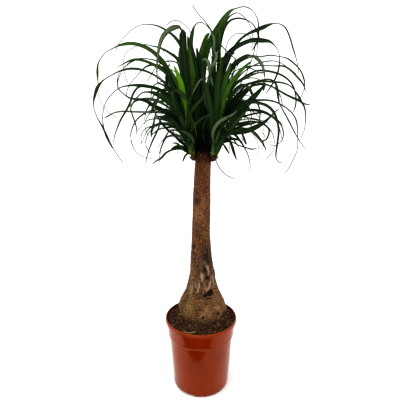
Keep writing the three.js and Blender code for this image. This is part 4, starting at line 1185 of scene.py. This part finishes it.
         (114, -81, 958, 10.9), (129, -92, 974, 8.1), (140, -101, 985, 4.3), (159, -115, 993, 2.6),
         (177, -130, 994, 2.1)),
        ("right", 0.4, 0, (59, -55, 902, 8.5), (77, -74, 947, 8.3), (93, -93, 972, 8.1),
         (110, -111, 981, 7.4), (124, -127, 972, 6.8), (131, -135, 957, 6.7), (136, -140, 942, 4.1)),
        ("right", 0.2, 0, (73, -10, 954, 5.9), (95, -15, 987, 4.6), (120, -20, 1003, 3.4),
         (145, -26, 1008, 2.6), (167, -30, 1002, 2), (187, -34, 985, 1.7)),
        ("right", 0.8, 0, (39, -40, 952, 8.5), (37, -48, 1027, 8.3), (31, -56, 1087, 8.2),
         (26, -60, 1122, 4.3), (31, -72, 1112, -6.9), (35, -76, 1094, -6.9), (34, -80, 1073, -5.3),
         (41, -84, 1057, -8), (35, -88, 1040, -8), (25, -90, 1029, -5.3), (13, -92, 1021, -1.6)),
        ("right", 0.9, 0, (11, -36, 936, 10), (6, -42, 995, 9.9), (2, -50, 1039, 7.2), (6, -62, 1053, -6.5),
         (17, -70, 1047, -9.2), (22, -76, 1029, -8.6), (24, -80, 1010, -7), (28, -82, 994, -5.4),
         (33, -84, 978, -2.2)),
        ("back_right", 0.65, 0.2, (-9, -4, 954, 14.7), (-7, -8, 1015, 14.5), (-2, -10, 1067, 13.7),
         (7, -12, 1098, 12.5), (15, -14, 1119, 10.1), (23, -16, 1130, 4.2)),
        ("right", 0.5, 0, (64, -50, 968, 3.4), (88, -56, 1020, 2.5), (95, -58, 1049, 2.2),
         (73, -60, 1069, 2.7), (48, -60, 1094, 3.5), (33, -60, 1114, 5.4), (23, -60, 1131, 3.2),
         (10, -60, 1148, 2.1), (-11, -60, 1170, 1.6), (-27, -60, 1193, 1.3)),
        ("back_left", 0.6, 0, (-34, 40, 1038, 3), (-27, 40, 1108, 2.1), (-33, 40, 1147, 1.5),
         (-50, 40, 1164, 1.5), (-71, 40, 1175, 1.5), (-91, 40, 1171, 1.5), (-103, 40, 1160, 1.2)),
        ("right", 0.5, 0, (59, -20, 1025, 2.9), (67, -22, 1070, 1.7), (75, -24, 1104, 1.4),
         (91, -26, 1122, 1.4), (113, -26, 1126, 1.4), (133, -26, 1119, 1.4), (145, -24, 1104, 1.1)),
        ("right", 0.5, 0, (81, -60, 946, 2.8), (117, -66, 1003, 2.2), (135, -68, 1045, 2.2),
         (144, -70, 1080, 1.9), (142, -70, 1105, 1.3)),
        ("right", 0.5, 0, (104, -62, 896, 2.8), (140, -86, 896, 2.2), (170, -106, 888, 1.9),
         (185, -116, 881, 1.3)),
        ("left", 0.5, 0, (-36, -110, 912, 2.7), (-28, -89, 955, 2.2), (-9, -37, 977, 2), (12, 19, 995, 1.5)),
        # five near-black leaves on the back heads fill the gap between the two front stems: their darkness is
        # painted shade
        ("back_left", 0, 0, (-16, 12, 806, 15), (-19, 15, 842, 16), (-22, 20, 884, 14), (-28, 26, 930, 9)),
        ("back_left", 0.02, 0, (-4, 13, 800, 16), (-6, 16, 838, 18), (-6, 20, 880, 17), (-9, 26, 940, 12)),
        ("back_right", 0, 0, (9, 13, 800, 16), (10, 16, 840, 18), (11, 20, 884, 17), (12, 26, 936, 12)),
        ("back_right", 0.03, 0, (22, 12, 802, 15), (25, 15, 842, 16), (28, 20, 884, 14), (33, 26, 930, 9)),
        ("back_left", 0.01, 0, (2, 8, 798, 14), (3, 10, 824, 15), (1, 12, 856, 12), (-2, 14, 880, 5)),
    ],
    # the same for the olive bases of the leaves that clasp the two front stems; their olive is partly their
    # own tone and partly a painted glow of light through the leaf
    "bases": [
        ("left", 0.9, 0.16, (-31, -36, 796, 10), (-36, -50, 820, 11), (-42, -62, 848, 8), (-46, -70, 872, 3)),
        ("left", 0.7, 0.1, (-24, -34, 796, 8), (-27, -46, 822, 9), (-30, -56, 852, 4)),
        ("right", 0.92, 0.18, (35, -38, 794, 10), (36, -56, 815, 11), (45, -72, 840, 8), (52, -82, 862, 3)),
        ("right", 0.8, 0.12, (45, -36, 793, 9), (54, -50, 813, 9), (66, -62, 838, 4)),
    ],
    # leaves of scene.py alone: how many on each head, then how wide they are, how steep at the root, how far
    # they bend over, how long they are and how far they sweep aside
    "inner": (14, (15, 21), (74, 88), (8, 55), (150, 260), (-40, 40)),
    "clasping": (5, (13, 17), (58, 80), (10, 60), (80, 170), (-20, 20)),
    "stray": (2, (6, 11), (25, 75), (120, 230), (240, 420), (-45, 45)),
    "wisp": (3, (2.2, 3.6), (40, 80), (110, 230), (190, 330), (-60, 60)),
}


# A place of a leaf, kept clear of the sectors of the heads at both sides
def placed(head, heading, reach, height, margin):
    point = reach * level(math.radians(heading)) + [0, 0, height]
    for edge in (head["from"] + 90, head["to"] - 90):
        inward = level(math.radians(edge))
        point = point + inward * max(0.0, margin - float(point @ inward))
    return point + [*crown["axis"], 0]


# Where a leaf starts inside its stem
def leafRoot(head, up, heading):
    foot, axis = headFrame(head)
    sunk = mix(head["stem"], leaves["stemTip"], up) * 0.35
    return foot + axis * mix(8, leaves["stemLength"] - 6, up) + sunk * level(math.radians(heading))


# A large leaf through the places of its row
def largeLeaf(row):
    name, shade, young = row[:3]
    head = next(head for head in crown["heads"] if head["name"] == "leaf_head_" + name)
    foot = headFrame(head)[0]
    places = np.array(row[3:], float)
    up = clamp((places[0][2] - 60 - foot[2]) / leaves["stemLength"], 0.02, 0.9)
    heading = math.degrees(math.atan2(places[0][1] - foot[1], places[0][0] - foot[0]))
    path = [leafRoot(head, up, heading)] + [keptInside(place) for place in places[:, :3]]
    looks = np.append(places[0][3] * 0.8, places[:, 3])
    steps = max(leaves["steps"], 3 * len(path))
    return head, dict(path=path, looks=looks, up=up, shade=shade, young=young, steps=steps)


# A leaf of the fountain, as the model's source grows it
def grownLeaf(head, index, draw):
    up = (index + 0.5) / head["leaves"]
    turn = (index * 0.618034 + head["seed"] * 0.37) % 1
    heading = mix(head["from"], head["to"], clamp(turn + draw(-0.04, 0.04), 0.02, 0.98))
    young = clamp((up - 0.88) / 0.05)
    nearFront = max(0, 1 - abs(heading - 270) / 45)
    width = draw(15, 21)
    lift = mix(mix(30, 80, up ** 0.8) + draw(-9, 9) + 32 * nearFront, 86, young)
    size = draw(0.8, 1.08) * (1 - 0.25 * nearFront - 0.3 * young)
    length = mix(205, 350, up ** 0.8) * size
    bend = mix(95, 168, up) * draw(0.85, 1.15) * (1 - 0.45 * nearFront - 0.4 * young)
    sweep = draw(-18, 18)
    rollRoot = draw(-35, 35)
    rollTip = rollRoot + draw(-130, 130)
    margin = width / 2 + leaves["clearOfNextHead"]
    path = [leafRoot(head, up, heading)]
    reach = math.hypot(path[0][0] - crown["axis"][0], path[0][1] - crown["axis"][1])
    height = path[0][2]
    steps = 4 * leaves["arcSteps"]
    for step in range(1, steps + 1):
        share = step / steps
        slope = math.radians(lift - bend * share ** 1.6)
        reach += length / steps * math.cos(slope)
        height += length / steps * math.sin(slope)
        if step % leaves["arcSteps"] == 0:
            path.append(placed(head, heading + sweep * share * share, reach,
                               max(height, leaves["lowestTip"]), margin))
    return dict(path=path, width=width, rollRoot=rollRoot, rollTip=rollTip, up=up)


# A leaf of one kind that grows free of its head's sector, from a place up the stem
def freeLeaf(head, kind, up, heading, draw):
    width, lift, bend, length, sweep = (draw(*span) for span in leaves[kind][1:])
    path = [leafRoot(head, up, heading)]
    spot = path[0]
    steps = 24
    for step in range(1, steps + 1):
        share = step / steps
        slope = math.radians(lift - bend * share ** 1.5)
        turn = math.radians(heading + sweep * share ** 1.5)
        spot = spot + (math.cos(slope) * level(turn) + [0, 0, math.sin(slope)]) * length / steps
        if step % 4 == 0:
            inside = keptInside(spot)
            if len(path) > 2 and not np.allclose(inside, spot):
                break
            path.append(inside)
    roll = draw(-70, 70)
    return dict(path=path, width=width, rollRoot=roll, rollTip=roll + draw(-120, 120), up=up)


# No place outside the model's own reach
def keptInside(spot):
    low, high = np.array(cadLow) / mm + leaves["inset"], np.array(cadHigh) / mm - leaves["inset"]
    return np.clip(spot, [low[0], low[1], leaves["lowest"]], high)


# Leaves of scene.py alone: steep ones that hide the stem, short ones that clasp its foot, and thin strays
def extraLeaves(head, draw):
    made = []
    count = leaves["inner"][0]
    for i in range(count):
        up = (i + 0.5) / count
        heading = 270 + draw(-80, 80) if i % 3 else i * 137.5
        leaf = freeLeaf(head, "inner", up * 0.8, heading, draw)
        leaf["rollTip"] = leaf["rollRoot"] * 0.5 + draw(-60, 60)
        leaf["rollRoot"] *= 0.5
        # the low inner leaves are darkened as painted shade deep in the crown
        shade = (draw(0, 0.5) + 0.35 * up) * min(1, 0.15 + 2 * up)
        made.append(dict(leaf, shade=shade, young=0.6 * smoothly(up, 0.6, 1) * draw(0.3, 1), pale=0.1))
    count = leaves["clasping"][0]
    for i in range(count):
        heading = head["azimuth"] + mix(-80, 80, (i + 0.5) / count) + draw(-12, 12)
        leaf = freeLeaf(head, "clasping", 0, heading, draw)
        outward = level(math.radians(heading))
        start = headFrame(head)[0] + outward * head["stem"] * 0.7 + [0, 0, draw(-3, 6)]
        leaf["path"] = [start] + [place + (start - leaf["path"][0]) for place in leaf["path"][1:]]
        leaf["rollTip"], leaf["rollRoot"] = draw(-50, 50), draw(-15, 15)
        made.append(dict(leaf, shade=draw(0.2, 0.8), young=draw(0, 0.3), pale=0.3, green=0.4))
    for kind, ups, shades, looks in (("stray", (0, 0.9), (0, 0.7), {"pale": 0.35}),
                                     ("wisp", (0.3, 0.95), (0.2, 0.8), {"pale": 0.4, "least": 1.5})):
        for i in range(leaves[kind][0]):
            heading = mix(head["from"], head["to"], draw())
            leaf = freeLeaf(head, kind, draw(*ups), heading, draw)
            made.append(dict(leaf, shade=draw(*shades), young=0, **looks))
    return made


# Half the width along a leaf and the direction across it, for one that rolls evenly from root to tip
def rolled(leaf, shares, ahead):
    side = np.stack([-ahead[:, 1], ahead[:, 0], np.zeros(len(ahead))], axis=1)
    side[np.linalg.norm(side, axis=1) < 1e-4] = (1, 0, 0)
    side /= np.linalg.norm(side, axis=1)[:, None]
    roll = np.radians(mix(leaf["rollRoot"], leaf["rollTip"], shares))[:, None]
    across = side * np.cos(roll) + np.cross(ahead, side) * np.sin(roll)
    half = leaf["width"] / 2 * (1 - shares ** 1.8) * np.minimum(1, 0.42 + shares / 0.24)
    half = half * (1 - leaf.get("drawnOut", 0.3) * smoothly(shares, 0.35, 0.8))
    return np.maximum(half, mix(1.1, 0.9, shares) * leaf.get("least", 1)), across


# The same for a large leaf: it tapers, and it twists so far that it looks as wide as its row says
def turnedToLook(leaf, shares, ahead):
    looks = leaf["looks"]
    seen = 1.16 * np.interp(shares * (len(looks) - 1), np.arange(len(looks)), looks)
    wide = np.abs(seen).max()
    own = np.maximum(wide * (1 - 0.86 * smoothly(shares, 0.15, 1)), np.abs(seen))
    turn = np.arcsin(np.clip(seen / own, -1, 1))
    turn = np.convolve(np.pad(turn, 2, mode="edge"), [0.1, 0.2, 0.4, 0.2, 0.1], "valid")[:, None]
    front = np.array([0, -1, 0]) + ahead * ahead[:, 1:2]
    front /= np.linalg.norm(front, axis=1)[:, None]
    outward = 1 if leaf["path"][-1][0] < leaf["path"][0][0] else -1
    across = front * np.cos(turn) * outward - np.cross(ahead, front) * np.sin(turn)
    return np.maximum(own / 2, 1.1), across


acrossSpots = [-1, -0.5, 0, 0.5, 1]


# A strap blade with a channel down its middle: two thin wings, thickest at the midrib, drawn out to a point
def addBlade(parts, leaf, draw):
    steps = leaf.get("steps", leaves["steps"])
    shares = np.linspace(0, 1, steps + 1)
    where, ahead = curve(leaf["path"], shares)
    phase = draw(0, 6.28)
    half, across = (turnedToLook if "looks" in leaf else rolled)(leaf, shares, ahead)
    face = np.cross(ahead, across)
    fold = np.radians(mix(34, 12, np.minimum(1, shares * 1.6)))
    # thick at the midrib; a blade drawn out to a thread is nearly round
    thick = np.maximum(mix(leaves["thickness"], 0.8, shares), 1.9 - 0.6 * half)
    points = []
    for i in range(steps):
        rib = []
        wave = 0.06 * math.sin(phase + 21 * shares[i])
        for spot in acrossSpots:
            lift = half[i] * (abs(spot) * math.sin(fold[i]) + wave * spot)
            rib.append(where[i] + across[i] * spot * half[i] * math.cos(fold[i]) + face[i] * lift)
        under = face[i] * thick[i]
        points += rib + [rib[3] - under * 0.75, rib[2] - under - face[i] * leaves["edgeThickness"] / 2,
                         rib[1] - under * 0.75]
    points.append(where[-1])
    sides, tip = len(acrossSpots) + 3, len(points) - 1
    faces = [face[::-1] for face in ringFaces(steps, sides)] + [tuple(range(sides))]
    faces += [(tip - sides + (i + 1) % sides, tip - sides + i, tip) for i in range(sides)]
    draw()  # a spare draw, which keeps the next leaves as they are
    parts.add(points, faces, along=np.append(np.repeat(shares[:-1], sides), 1) * leaf.get("green", 1),
              across=np.append(np.tile(acrossSpots + [0.5, 0, -0.5], steps), 0),
              below=np.append(np.tile([0] * 5 + [1] * 3, steps), 0) * leaf.get("pale", 1),
              shade=leaf["shade"], young=leaf["young"], dry=leaf.get("dry", 0.0))


leafMarks = ("along", "across", "below", "shade", "young", "dry")


def leafGreen():
    look = Look("leaf_green", Metallic=0, Specular_IOR_Level=0.14)
    along, across, below, shade, young, dry = (look.drawn(mark) for mark in leafMarks)
    colour = look.ramp(shade, (0, tone(13, 32, 7)), (0.45, tone(22, 48, 10)), (0.8, tone(36, 62, 22)),
                       (1, tone(62, 86, 52)))
    colour = colour.under(tone(92, 134, 16), young)
    colour = colour.under(tone(104, 118, 92), below * 0.68)
    # a paler midrib, fine veins, and blotches
    colour = colour.under(tone(74, 104, 46), (1 - abs(across).rise(0.0, 0.16)) * 0.35)
    veins = (across * 44).sine() * 0.5 + 0.5
    colour = colour.under(tone(20, 40, 14), veins * 0.22)
    colour = colour.under(tone(16, 34, 12), look.cloud(34, 3).rise(0.5, 0.72) * 0.4)
    # olive at the foot, partly the leaf's own tone and partly a painted glow of light shining through it;
    # straw at a dry tip; a thin pale edge
    colour = colour.under(tone(112, 118, 46), (1 - along.rise(0.0, 0.12)) * 0.75)
    colour = colour.under(tone(120, 92, 52), along.rise(0.86, 0.99) * dry)
    colour = colour.under(tone(132, 138, 60), abs(across).rise(0.86, 1.0) * 0.15)
    look.shade(Base_Color=colour, Roughness=0.38 + 0.16 * look.cloud(50, 2) + 0.1 * below)
    look.relief(veins * 0.6 + look.cloud(120, 2) * 0.5, 0.0005, 0.5)
    return look


def makeHead(head, look):
    draw, fine = Draw(head["seed"]), Draw(head["seed"] + 500)
    parts = Parts(*leafMarks)
    for table, green in (("large", 1), ("bases", 0.25)):
        for owner, leaf in map(largeLeaf, leaves[table]):
            if owner is head:
                addBlade(parts, dict(leaf, green=green), fine)
    for i in range(head["leaves"]):
        leaf = grownLeaf(head, i, draw)
        leaf["shade"] = clamp(fine(0, 0.8) * mix(0.7, 1.2, leaf["up"]))
        leaf["young"] = 0.75 * smoothly(leaf["up"], 0.86, 0.96) * fine(0.5, 1)
        leaf["drawnOut"] = fine(0.1, 0.45)
        leaf["pale"] = 0.35
        leaf["dry"] = fine() if fine() > 0.6 else 0
        addBlade(parts, leaf, fine)
    for leaf in extraLeaves(head, fine):
        addBlade(parts, leaf, fine)
    foot, axis = headFrame(head)
    shares = np.linspace(0, 1, leaves["stemRings"])
    path = [foot + axis * mix(2, leaves["stemLength"], share) for share in shares]
    # the foot of the stem is drawn in, inside its socket
    thick = mix(head["stem"], leaves["stemTip"], shares) * mix(0.74, 1, np.minimum(1, 4 * shares))
    parts.add(*strand(path, thick, leaves["stemSides"], 0), shade=0.3, along=0.03)
    makePiece(head["name"].replace("leaf_head", "leaves"), parts, look, head["name"])


leafLook = leafGreen()
for head in crown["heads"]:
    makeHead(head, leafLook)
    print(head["name"], "made")
